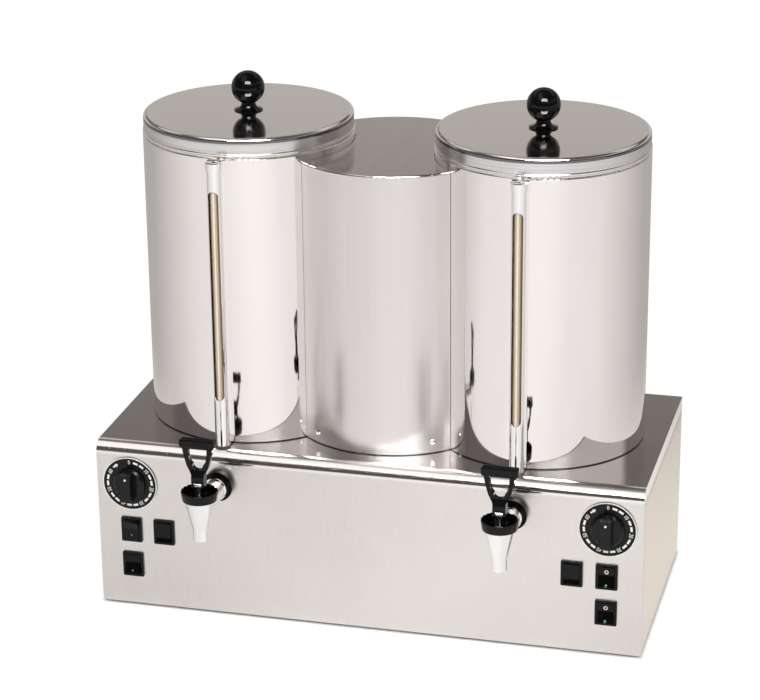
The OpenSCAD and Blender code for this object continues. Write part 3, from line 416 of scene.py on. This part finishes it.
# what they share: how much streaks, smears and hairlines give to the tone and to the relief
grainMix = {
    "smear": 7.0, "streakTone": 0.45, "smearTone": 0.4, "hairTone": 0.15, "toneEdges": (0.34, 0.66),
    "hairRelief": 0.6, "streakRelief": 0.4,
}


def brushed(name, colour, dark, streak, fine, roughness, spread, depth, foot=None):
    finish = Finish(name, metallic=1.0)
    place = finish.place()
    streaks = finish.noise(finish.stretched(place, streak), detail=4.0, roughness=0.6)
    hairs = finish.noise(finish.stretched(place, fine))
    smear = finish.noise(place, scale=grainMix["smear"], detail=3.0, roughness=0.55)
    tone = streaks * grainMix["streakTone"] + smear * grainMix["smearTone"]
    tone = finish.smooth(tone + hairs * grainMix["hairTone"], *grainMix["toneEdges"])
    relief = hairs * grainMix["hairRelief"] + streaks * grainMix["streakRelief"]
    # the colour carries the painted shade round the foot, where a foot is given
    finish.set(
        colour=withJoint(finish, place, finish.mix(tone, dark, colour), foot),
        roughness=roughness + (hairs - 0.5) * spread + (smear - 0.5) * spread,
        normal=finish.bump(relief, depth),
    )
    return finish.material


# mirror steel and chrome: faint rolling waves, wiped smears and a few hairlines
mirrorMetals = {
    "jacketMirror": {
        "colour": (0.885, 0.852, 0.838), "roughness": 0.06, "wave": 0.0003,
        "foot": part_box("jacket_left")[0].z,
    },
    "brightChrome": {"colour": (0.93, 0.92, 0.915), "roughness": 0.04, "wave": 0.0001},
}
mirrorWear = {
    "waves": 6.0, "smears": (14.0, 14.0, 5.0), "hairs": (900.0, 900.0, 30.0), "dulled": 0.965,
    "dullEdges": (0.35, 0.7), "hazeEdges": (0.35, 0.75), "wipedShare": 0.6, "hairRelief": 0.01,
}


def polished(name, colour, roughness, wave, foot=None):
    finish = Finish(name, metallic=1.0)
    place = finish.place()
    waves = finish.noise(place, scale=mirrorWear["waves"], detail=1.0, roughness=0.4)
    stretched = finish.stretched(place, mirrorWear["smears"])
    smears = finish.noise(stretched, detail=4.0, roughness=0.65)
    hairs = finish.noise(finish.stretched(place, mirrorWear["hairs"]), detail=1.0)
    dulled = tuple(part * mirrorWear["dulled"] for part in colour)
    wiped = finish.mix(finish.smooth(smears, *mirrorWear["dullEdges"]), dulled, colour)
    haze = finish.smooth(smears, *mirrorWear["hazeEdges"])
    # the colour carries the painted shade round the foot, where a foot is given
    finish.set(
        colour=withJoint(finish, place, wiped, foot),
        roughness=roughness * mirrorWear["wipedShare"] + haze * roughness,
        normal=finish.bump(waves + hairs * mirrorWear["hairRelief"], wave),
    )
    return finish.material


# moulded plastic, rubber and print: fine spark grain, and a slight drift from colour to worn
plastics = {
    "glossBlack": {
        "colour": (0.002, 0.002, 0.0022), "worn": (0.003, 0.003, 0.0033),
        "roughness": 0.05, "haze": 0.02, "grain": 0.0008, "depth": 0.0000002, "specular": 0.22,
    },
    "satinBlack": {
        "colour": (0.004, 0.004, 0.0045), "worn": (0.006, 0.006, 0.0065),
        "roughness": 0.20, "haze": 0.08, "grain": 0.0006, "depth": 0.00001, "specular": 0.26,
    },
    "grainBlack": {
        "colour": (0.004, 0.004, 0.0045), "worn": (0.007, 0.007, 0.008),
        "roughness": 0.24, "haze": 0.16, "grain": 0.0006, "depth": 0.00001, "specular": 0.22,
    },
    "rubberBlack": {
        "colour": (0.02, 0.02, 0.02), "worn": (0.04, 0.04, 0.038),
        "roughness": 0.62, "haze": 0.16, "grain": 0.0012, "depth": 0.00003,
    },
    "milkySilicone": {
        "colour": (0.78, 0.76, 0.70), "worn": (0.72, 0.69, 0.62),
        "roughness": 0.45, "haze": 0.16, "grain": 0.002, "depth": 0.00001,
    },
    "ivoryPlastic": {
        "colour": (0.78, 0.74, 0.63), "worn": (0.72, 0.68, 0.57),
        "roughness": 0.4, "haze": 0.16, "grain": 0.001, "depth": 0.00001,
    },
    "printedWhite": {
        "colour": (0.86, 0.86, 0.85), "worn": (0.78, 0.78, 0.77),
        "roughness": 0.5, "haze": 0.16, "grain": 0.0005, "depth": 0.000004,
    },
}
plasticDrift = {"scale": 35.0, "edges": (0.3, 0.75), "sparkHaze": 0.5}


def moulded(name, colour, worn, roughness, haze, grain, depth, **fixed):
    finish = Finish(name, **fixed)
    place = finish.place()
    sparks = finish.noise(place, scale=1.0 / grain)
    drift = finish.noise(place, scale=plasticDrift["scale"], detail=3.0, roughness=0.6)
    sparkle = (sparks - 0.5) * haze * plasticDrift["sparkHaze"]
    finish.set(
        colour=finish.mix(finish.smooth(drift, *plasticDrift["edges"]), colour, worn),
        roughness=roughness + (drift - 0.5) * haze + sparkle,
        normal=finish.bump(sparks, depth),
    )
    return finish.material


# the one bent sheet: a fine grain down the panel, polished over the round edge and the deck, whose
# heights are drops below the sheet's top
cover = {
    "panel": (0.815, 0.785, 0.768), "panelDark": (0.77, 0.735, 0.717), "edge": (0.91, 0.88, 0.86),
    "grain": (420.0, 420.0, 40.0), "hairs": (1300.0, 1300.0, 14.0), "smear": 6.0,
    "grainTone": 0.3, "smearTone": 0.7, "toneEdges": (0.35, 0.65),
    "edgeDrop": (0.0155, 0.0125), "deckDrop": (0.004, 0.0008),
    "roughness": 0.30, "hairHaze": 0.1, "smearHaze": 0.06, "edgeSmoother": 0.17,
    "deckRougher": 0.05, "hairRelief": 0.6, "grainRelief": 0.4, "depth": 0.000012,
}


def coverSteel():
    finish = Finish("coverSteel", metallic=1.0)
    place = finish.place()
    z = finish.parts(place)[2]
    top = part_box("cover_sheet")[1].z
    grain = finish.noise(finish.stretched(place, cover["grain"]), detail=3.0, roughness=0.55)
    hairs = finish.noise(finish.stretched(place, cover["hairs"]), detail=1.0)
    smear = finish.noise(place, scale=cover["smear"], detail=3.0)
    edge = finish.smooth(z, *(top - drop for drop in cover["edgeDrop"]))
    deck = finish.smooth(z, *(top - drop for drop in cover["deckDrop"]))
    tone = grain * cover["grainTone"] + smear * cover["smearTone"]
    panel = finish.mix(
        finish.smooth(tone, *cover["toneEdges"]), cover["panelDark"], cover["panel"])
    worn = cover["roughness"] + (hairs - 0.5) * cover["hairHaze"]
    worn = worn + (smear - 0.5) * cover["smearHaze"]
    relief = hairs * cover["hairRelief"] + grain * cover["grainRelief"]
    finish.set(
        colour=finish.mix(edge, panel, cover["edge"]),
        roughness=worn - edge * cover["edgeSmoother"] + deck * cover["deckRougher"],
        normal=finish.bump(relief * (1.0 - edge), cover["depth"]),
    )
    return finish.material


# coffee film behind the gauge's glass, with painted shade browner towards the sides, where the wall
# is seen edge on, and painted light in a cream stripe down the middle; darker at the foot; across
# goes from 0 in the middle to 1 at the wall, rise from 0 at the foot
gauge = {
    "film": (0.60, 0.52, 0.41), "filmDark": (0.42, 0.33, 0.23), "cream": (0.78, 0.72, 0.62),
    "wall": (0.24, 0.16, 0.08), "darkAtFoot": (0.06, 0.028, 0.012), "cloud": (160.0, 160.0, 16.0),
    "creamAcross": (0.20, 0.06), "wallAcross": (0.34, 0.60), "darkAtFootRise": (0.13, 0.165),
    "darkAtFootWobble": 0.02, "roughness": 0.10, "haze": 0.08,
}


def stainedGlass():
    finish = Finish("stainedGlass", ior=1.47, coat=0.6, coatRoughness=0.03)
    place = finish.place()
    x, y, z = finish.parts(place)
    low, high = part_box("gauge_tube_right")
    middle, radius = (low.x + high.x) / 2, (high.x - low.x) / 2
    across = finish.maths("ABSOLUTE", finish.maths("ABSOLUTE", x) - middle) / radius
    rise = (z - low.z) / (high.z - low.z)
    cloud = finish.noise(finish.stretched(place, gauge["cloud"]), detail=4.0, roughness=0.6)
    film = finish.mix(cloud, gauge["filmDark"], gauge["film"])
    # painted light: a lighter cream down the middle
    film = finish.mix(finish.smooth(across, *gauge["creamAcross"]), film, gauge["cream"])
    # painted shade: browner towards the sides, where the wall is seen edge on
    film = finish.mix(finish.smooth(across, *gauge["wallAcross"]), film, gauge["wall"])
    # darker towards the foot
    rise = rise + (cloud - 0.5) * gauge["darkAtFootWobble"]
    aboveFoot = finish.smooth(rise, *gauge["darkAtFootRise"])
    finish.set(
        colour=finish.mix(aboveFoot, gauge["darkAtFoot"], film),
        roughness=gauge["roughness"] + cloud * gauge["haze"],
    )
    return finish.material


# the rockers' moulded green lens, a little cloudy
lens = {
    "dark": (0.002, 0.07, 0.045), "bright": (0.006, 0.15, 0.10), "cloud": 900.0,
    "roughness": 0.2, "haze": 0.1,
}


def signalGreen():
    finish = Finish("signalGreen", coat=0.8, coatRoughness=0.05)
    cloud = finish.noise(finish.place(), scale=lens["cloud"])
    finish.set(
        colour=finish.mix(cloud, lens["dark"], lens["bright"]),
        roughness=lens["roughness"] + cloud * lens["haze"],
    )
    return finish.material


# the spun lid: polished top and shoulder, a painted dark reflection as a dark ring round the
# shoulder, and a rougher turned skirt over the bead, painted darker than the top as painted shade;
# drops are below the lid's top, rises above its foot
lid = {
    "top": (0.94, 0.915, 0.90), "topDark": (0.90, 0.875, 0.86),
    "skirt": (0.78, 0.765, 0.778), "skirtDark": (0.65, 0.64, 0.65), "rings": (3.0, 3.0, 1400.0),
    "paintedDarkReflection": (0.10, 0.10, 0.105), "paintedDarkReflectionShare": 0.9,
    "paintedDarkReflectionTopDrop": (0.0020, 0.0029), "paintedDarkReflectionFootDrop": (0.0066, 0.0056),
    "skirtTopDrop": (0.0049, 0.0058), "skirtFootRise": (0.0022, 0.0034),
    "smear": 11.0, "dullEdges": (0.35, 0.7), "ringEdges": (0.35, 0.65), "hazeEdges": (0.35, 0.75),
    "roughness": 0.07, "smearRougher": 0.05, "skirtRougher": 0.16, "smearRelief": 0.2,
    "depth": 0.00001,
}


def lidSteel():
    finish = Finish("lidSteel", metallic=1.0)
    place = finish.place()
    z = finish.parts(place)[2]
    low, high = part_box("lid_left")
    smears = finish.noise(place, scale=lid["smear"], detail=4.0, roughness=0.6)
    rings = finish.noise(finish.stretched(place, lid["rings"]))
    # painted dark reflection: a dark ring round the shoulder, below the top
    paintedDarkReflection = finish.smooth(z, *(high.z - drop for drop in lid["paintedDarkReflectionTopDrop"]))
    paintedDarkReflection = paintedDarkReflection * finish.smooth(z, *(high.z - drop for drop in lid["paintedDarkReflectionFootDrop"]))
    below = finish.smooth(z, *(high.z - drop for drop in lid["skirtTopDrop"]))
    below = below * finish.smooth(z, *(low.z + rise for rise in lid["skirtFootRise"]))
    top = finish.mix(finish.smooth(smears, *lid["dullEdges"]), lid["topDark"], lid["top"])
    # painted shade: the skirt's colours are darker than the top's
    skirt = finish.mix(finish.smooth(rings, *lid["ringEdges"]), lid["skirtDark"], lid["skirt"])
    bright = finish.mix(below, top, skirt)
    worn = lid["roughness"] + finish.smooth(smears, *lid["hazeEdges"]) * lid["smearRougher"]
    finish.set(
        colour=finish.mix(paintedDarkReflection * lid["paintedDarkReflectionShare"], bright, lid["paintedDarkReflection"]),
        roughness=worn + below * lid["skirtRougher"],
        normal=finish.bump(rings * below + smears * lid["smearRelief"], lid["depth"]),
    )
    return finish.material


finishes = {
    "coverSteel": coverSteel(), "lidSteel": lidSteel(), "stainedGlass": stainedGlass(),
    "signalGreen": signalGreen(),
}
for make, family in ((brushed, brushedMetals), (polished, mirrorMetals), (moulded, plastics)):
    for name, values in family.items():
        finishes[name] = make(name, **values)
print("finishes made:", len(finishes))

slotFinish = {
    "mirror_steel": "jacketMirror", "satin_steel": "vesselSatin", "lid_steel": "lidSteel",
    "zinc_steel": "zincSheet", "chrome_plate": "brightChrome", "black_gloss": "glossBlack",
    "black_matte": "grainBlack", "black_rubber": "rubberBlack", "silicone": "milkySilicone",
    "ivory_plastic": "ivoryPlastic", "gauge_glass": "stainedGlass", "yellow_brass": "machinedBrass",
    "copper_tube": "drawnCopper", "steel_tube": "drawnSteel",
}
nodeFinish = {  # nodes whose finish isn't their slot's
    "cover_sheet": "coverSteel", "side_casing": "casingBrush", "tower_front": "towerPolish",
    "tower_back": "towerPolish", "tower_top": "capPolish", "timer_knob_left": "satinBlack",
    "timer_knob_right": "satinBlack",
}


def dressNodes():
    slots = {part["node"]: part["material_slot"] for part in frame["record"]["subparts"]}
    for name, thing in frame["nodes"].items():
        chosen = nodeFinish.get(name, slotFinish[slots[name]])
        for slot in thing.material_slots:
            slot.material = finishes[chosen]


dressNodes()
bpy.context.view_layer.update()
print("nodes dressed")

sides = ("left", "right")
sunk = 0.00002  # how deep a print or a dot starts in what carries it


def seat(node, x, z):
    # where a line from the front meets a node, as a place with its z axis out of the surface
    start, towards = Vector((x, -1.0, z)), Vector((0.0, 1.0, 0.0))
    met, spot, normal, face = frame["nodes"][node].ray_cast(start, towards)
    if not met:
        raise ValueError("nothing of " + node + " in front of " + str((x, z)))
    right = Vector((0.0, 0.0, 1.0)).cross(normal).normalized()
    up = normal.cross(right)
    return Matrix.Translation(spot) @ Matrix((right, up, normal)).transposed().to_4x4()


def circle(radius, count):
    turns = [2 * math.pi * i / count for i in range(count)]
    return [(radius * math.cos(turn), radius * math.sin(turn)) for turn in turns]


def addPlate(work, outline, hole, thick, place):
    # a flat plate over the seat, with an outline and, where given, a hole of as many points
    rows = [[work.verts.new(place @ Vector((u, v, level))) for u, v in loop]
            for loop in (outline, hole) if loop for level in (-sunk, thick)]
    count = len(outline)
    pairs = [(row, row + 1) for row in range(0, len(rows), 2)]
    if hole:
        pairs += [(0, 2), (1, 3)]
    for first, second in pairs:
        for i in range(count):
            j = (i + 1) % count
            work.faces.new((rows[first][i], rows[first][j], rows[second][j], rows[second][i]))
    if not hole:
        work.faces.new(rows[0])
        work.faces.new(rows[1])


def finishPiece(name, work, finish, body, smooth=False):
    bmesh.ops.remove_doubles(work, verts=work.verts, dist=1e-6)
    bmesh.ops.recalc_face_normals(work, faces=work.faces)
    data = bpy.data.meshes.new(name)
    work.to_mesh(data)
    work.free()
    if smooth:
        data.shade_smooth()
    data.materials.append(finishes[finish])
    thing = bpy.data.objects.new(name, data)
    scene.collection.objects.link(thing)
    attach(thing, body)


# the dials' scale: ring, numbers and a winding arrow, as prints a tenth of a millimetre thick
dialPrint = {
    "radius": 0.0268, "step": 50.0, "numbers": ("0", "10", "20", "30", "40", "50", "60"),
    "height": 0.0047, "narrow": 0.82, "plump": 0.002, "curveSteps": 4, "thick": 0.00012,
    "ringInset": 0.0001, "ringWidth": 0.0012, "ringThick": 0.00015, "ringPoints": 120,
    "arrowTurn": 322.0,
    "arrow": [
        (-0.0037, -0.00095), (0.0002, -0.00095), (0.0002, -0.0023), (0.0037, 0.0),
        (0.0002, 0.0023), (0.0002, 0.00095), (-0.0037, 0.00095),
    ],
}


def numberMesh(word):
    data = bpy.data.curves.new("dialNumber", "FONT")
    data.body = word
    data.align_x = "CENTER"
    data.resolution_u = dialPrint["curveSteps"]
    data.extrude = 0.5  # half up, half down, so that the scale below is the thickness
    data.offset = dialPrint["plump"]
    letter = bpy.data.objects.new("dialNumber", data)
    scene.collection.objects.link(letter)
    bpy.context.view_layer.update()
    seen = letter.evaluated_get(bpy.context.evaluated_depsgraph_get())
    mesh = bpy.data.meshes.new_from_object(seen)
    bpy.data.objects.remove(letter)
    bpy.data.curves.remove(data)
    high = max(v.co.y for v in mesh.vertices)
    low = min(v.co.y for v in mesh.vertices)
    mesh.transform(Matrix.Translation((0.0, -(high + low) / 2, 0.0)))
    across = dialPrint["height"] / (high - low)
    scales = (across * dialPrint["narrow"], across, dialPrint["thick"], 1.0)
    mesh.transform(Matrix.Diagonal(scales))
    return mesh


def dialCentre(side):
    low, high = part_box("dial_" + side)
    return Vector(((low.x + high.x) / 2, low.y, (low.z + high.z) / 2)), (high.x - low.x) / 2


def ringAbout(centre, face, turn, radius):
    # a place on the dial at a clockwise turn from the top, with its top outwards
    angle = math.radians(turn)
    x, z = centre.x + radius * math.sin(angle), centre.z + radius * math.cos(angle)
    upright = Matrix(((1, 0, 0), (0, 0, -1), (0, 1, 0))).to_4x4()  # its face to the front
    return Matrix.Translation((x, face, z)) @ Matrix.Rotation(angle, 4, "Y") @ upright


def makeDialPrints():
    glyphs = {word: numberMesh(word) for word in dialPrint["numbers"]}
    radius = dialPrint["radius"]
    for side in sides:
        centre, rim = dialCentre(side)
        face = seat("dial_" + side, centre.x + radius, centre.z).translation.y
        work = bmesh.new()
        for index, word in enumerate(dialPrint["numbers"]):
            copy = glyphs[word].copy()
            copy.transform(ringAbout(centre, face, index * dialPrint["step"], radius))
            work.from_mesh(copy)
            bpy.data.meshes.remove(copy)
        place = ringAbout(centre, face, dialPrint["arrowTurn"], radius)
        addPlate(work, dialPrint["arrow"], None, dialPrint["thick"], place)
        finishPiece("dialNumbers_" + side, work, "printedWhite", "base")
        work = bmesh.new()
        outer = rim - dialPrint["ringInset"]
        inner = outer - dialPrint["ringWidth"]
        outline, hole = (circle(edge, dialPrint["ringPoints"]) for edge in (outer, inner))
        place = ringAbout(centre, centre.y, 0.0, 0.0)
        addPlate(work, outline, hole, dialPrint["ringThick"], place)
        finishPiece("dialRing_" + side, work, "printedWhite", "base")


makeDialPrints()
print("dial numbers and rings made")


class Plan(Sheet):
    # a Geometry Nodes tree with named inputs
    def __init__(self, name, inputs):
        super().__init__(bpy.data.node_groups.new(name, "GeometryNodeTree"))
        kinds = {
            float: "NodeSocketFloat", int: "NodeSocketInt", tuple: "NodeSocketVector",
            str: "NodeSocketMaterial",
        }
        self.defaults = inputs
        sockets = self.tree.interface
        for label, value in inputs.items():
            sockets.new_socket(label, in_out="INPUT", socket_type=kinds[type(value)])
        sockets.new_socket("Geometry", in_out="OUTPUT", socket_type="NodeSocketGeometry")
        made = self.node("NodeGroupInput")
        self.given = {label: Value(self, made.outputs[label]) for label in inputs}

    def close(self, geometry):
        real = self.result("GeometryNodeRealizeInstances", None, {0: geometry})
        sockets = {"Geometry": real, "Material": self.given["material"]}
        covered = self.result("GeometryNodeSetMaterial", None, sockets)
        self.node("NodeGroupOutput", None, {0: covered})

    def grow(self, name, body, **values):
        # the tree's result as a plain mesh that rides a body
        data = bpy.data.meshes.new(name)
        thing = bpy.data.objects.new(name, data)
        scene.collection.objects.link(thing)
        modifier = thing.modifiers.new(name, "NODES")
        modifier.node_group = self.tree
        for item in self.tree.interface.items_tree:
            if item.in_out == "INPUT":
                value = values.get(item.name, self.defaults[item.name])
                modifier[item.identifier] = finishes[value] if item.name == "material" else value
        bpy.context.view_layer.update()
        seen = thing.evaluated_get(bpy.context.evaluated_depsgraph_get())
        grown = bpy.data.meshes.new_from_object(seen)
        thing.modifiers.remove(modifier)
        thing.data = grown
        grown.name = name
        bpy.data.meshes.remove(data)
        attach(thing, body)


# the bars between the numbers: two in each gap, a third of a step apart
dialBars = {
    "count": 12, "third": math.radians(50.0 / 3.0), "radius": 0.0268,
    "size": (0.0058, 0.00024, 0.0025), "centre": (0.0, 0.0, 0.0), "material": "printedWhite",
}


def barPlan():
    plan = Plan("dialBars", dialBars)
    given = plan.given
    index = plan.result("GeometryNodeInputIndex")
    turn = (index + 1.0 + plan.maths("FLOOR", index / 2.0)) * given["third"]
    x = plan.maths("SINE", turn) * given["radius"]
    z = plan.maths("COSINE", turn) * given["radius"]
    spot = plan.result("ShaderNodeCombineXYZ", None, {0: x, 2: z})
    sockets = {0: spot, 1: given["centre"]}
    spot = plan.result("ShaderNodeVectorMath", {"operation": "ADD"}, sockets)
    sockets = {"Count": given["count"], "Offset": (0.0, 0.0, 0.0)}
    points = plan.result("GeometryNodeMeshLine", None, sockets)
    sockets = {"Geometry": points, "Position": spot}
    points = plan.result("GeometryNodeSetPosition", None, sockets)
    bar = plan.result("GeometryNodeMeshCube", None, {"Size": given["size"]})
    turned = plan.result("ShaderNodeCombineXYZ", None, {1: turn})
    sockets = {"Points": points, "Instance": bar, "Rotation": turned}
    plan.close(plan.result("GeometryNodeInstanceOnPoints", None, sockets))
    return plan


def makeDialBars():
    plan = barPlan()
    for side in sides:
        centre, rim = dialCentre(side)
        face = seat("dial_" + side, centre.x + dialBars["radius"], centre.z).translation.y
        plan.grow("dialBars_" + side, "base", centre=(centre.x, face, centre.z))


makeDialBars()
print("dial bars made")

# rows of pan-head screws that hold the casing's back and the bottom tray, and their cross slots
screwRow = {
    "count": 4, "start": (0.0, 0.0, 0.0), "step": (0.1, 0.0, 0.0), "turn": (0.0, 0.0, 0.0),
    "sides": 24, "radius": 0.0034, "crown": 0.0021, "height": 0.0014, "material": "zincSheet",
}
crossRow = {
    "count": 4, "start": (0.0, 0.0, 0.0), "step": (0.1, 0.0, 0.0), "turn": (0.0, 0.0, 0.0),
    "size": (0.0026, 0.0006, 0.0028), "material": "rubberBlack",
}
screwInset = {"back": 0.014, "traySide": 0.09, "trayEdge": 0.012}  # from the sheets' edges


def rowPlan(name, inputs, drawHead):
    plan = Plan(name, inputs)
    given = plan.given
    sockets = {"Count": given["count"], "Start Location": given["start"], "Offset": given["step"]}
    points = plan.result("GeometryNodeMeshLine", None, sockets)
    sockets = {"Points": points, "Instance": drawHead(plan), "Rotation": given["turn"]}
    plan.close(plan.result("GeometryNodeInstanceOnPoints", None, sockets))
    return plan


def drawPan(plan):
    given = plan.given
    sockets = {
        "Vertices": given["sides"], "Radius Top": given["crown"],
        "Radius Bottom": given["radius"], "Depth": given["height"],
    }
    return plan.result("GeometryNodeMeshCone", None, sockets)


def drawCross(plan):
    across = plan.result("GeometryNodeMeshCube", None, {"Size": plan.given["size"]})
    sockets = {"Geometry": across, "Rotation": (0.0, 0.0, math.pi / 2)}
    turned = plan.result("GeometryNodeTransform", None, sockets)
    return plan.result("GeometryNodeJoinGeometry", None, {0: [turned, across]})


def makeScrews():
    heads = rowPlan("screwRow", screwRow, drawPan)
    crosses = rowPlan("crossRow", crossRow, drawCross)
    low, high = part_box("side_casing")
    trayLow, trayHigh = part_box("bottom_plate")
    outwards, downwards = (-math.pi / 2, 0.0, 0.0), (math.pi, 0.0, 0.0)
    backX, trayX = low.x + screwInset["back"], low.x + screwInset["traySide"]
    backStep = (high.x - low.x - 2 * screwInset["back"]) / 3
    trayStep = (high.x - low.x - 2 * screwInset["traySide"]) / 3
    trayEdge = screwInset["trayEdge"]
    rows = {
        "backTop": ((backX, high.y, high.z - screwInset["back"]), backStep, outwards),
        "backFoot": ((backX, high.y, low.z + screwInset["back"]), backStep, outwards),
        "trayFront": ((trayX, trayLow.y + trayEdge, trayLow.z), trayStep, downwards),
        "trayBack": ((trayX, trayHigh.y - trayEdge, trayLow.z), trayStep, downwards),
    }
    for name, (start, step, turn) in rows.items():
        shared = {"start": start, "step": (step, 0.0, 0.0), "turn": turn}
        heads.grow("screwHeads_" + name, "base", **shared)
        crosses.grow("screwCrosses_" + name, "base", **shared)


makeScrews()
print("casing screws made")

# the timer knobs' pointer dots fill the recess at the grip's upper end
pointerDot = {"rise": 0.011, "radius": 0.00135, "thick": 0.0006, "points": 32}


def makePointerDots():
    for side in sides:
        centre, rim = dialCentre(side)
        place = seat("timer_knob_" + side, centre.x, centre.z + pointerDot["rise"])
        work = bmesh.new()
        outline = circle(pointerDot["radius"], pointerDot["points"])
        addPlate(work, outline, None, pointerDot["thick"], place)
        finishPiece("pointerDot_" + side, work, "printedWhite", "timer_" + side)


makePointerDots()
print("pointer dots made")

# rocker faces: a round mark on the right-hand pair, a green lens in the lower half of all four
rockerTrim = {
    "markRise": 0.0066, "markOuter": 0.0024, "markInner": 0.0015, "markThick": 0.00012,
    "markPoints": 40, "lensDrop": {"left": 0.0068, "right": 0.0086},
    "lensRadius": {"left": 0.0013, "right": 0.0019}, "lensHeight": 0.0007, "lensRings": 6,
    "lensPoints": 28,
}


def makeDome(work, place, radius, height, rings, count):
    rows = []
    for ring in range(rings):
        lift = height * math.sin(math.pi / 2 * ring / rings)
        wide = radius * math.cos(math.pi / 2 * ring / rings)
        rows.append([work.verts.new(place @ Vector((u, v, lift))) for u, v in circle(wide, count)])
    for lower, upper in zip(rows, rows[1:]):
        for i in range(count):
            j = (i + 1) % count
            work.faces.new((lower[i], lower[j], upper[j], upper[i]))
    top = work.verts.new(place @ Vector((0.0, 0.0, height)))
    for i in range(count):
        work.faces.new((rows[-1][i], rows[-1][(i + 1) % count], top))
    work.faces.new(rows[0])


def makeRoundMark(node, row, x, z, body):
    work = bmesh.new()
    place = seat(node, x, z + rockerTrim["markRise"])
    outer, inner = rockerTrim["markOuter"], rockerTrim["markInner"]
    outline, hole = (circle(edge, rockerTrim["markPoints"]) for edge in (outer, inner))
    addPlate(work, outline, hole, rockerTrim["markThick"], place)
    finishPiece("roundMark_" + row, work, "printedWhite", body)


def makeRockerTrim():
    for side in sides:
        for row in ("upper", "lower"):
            node = "rocker_" + side + "_" + row
            body = "switch_" + side + "_" + row
            low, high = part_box(node)
            x, z = (low.x + high.x) / 2, (low.z + high.z) / 2
            if side == "right":
                makeRoundMark(node, row, x, z, body)
            work = bmesh.new()
            place = seat(node, x, z - rockerTrim["lensDrop"][side])
            makeDome(work, place, rockerTrim["lensRadius"][side], rockerTrim["lensHeight"],
                     rockerTrim["lensRings"], rockerTrim["lensPoints"])
            finishPiece("lens_" + side + "_" + row, work, "signalGreen", body, smooth=True)


makeRockerTrim()
print("rocker marks and lenses made")
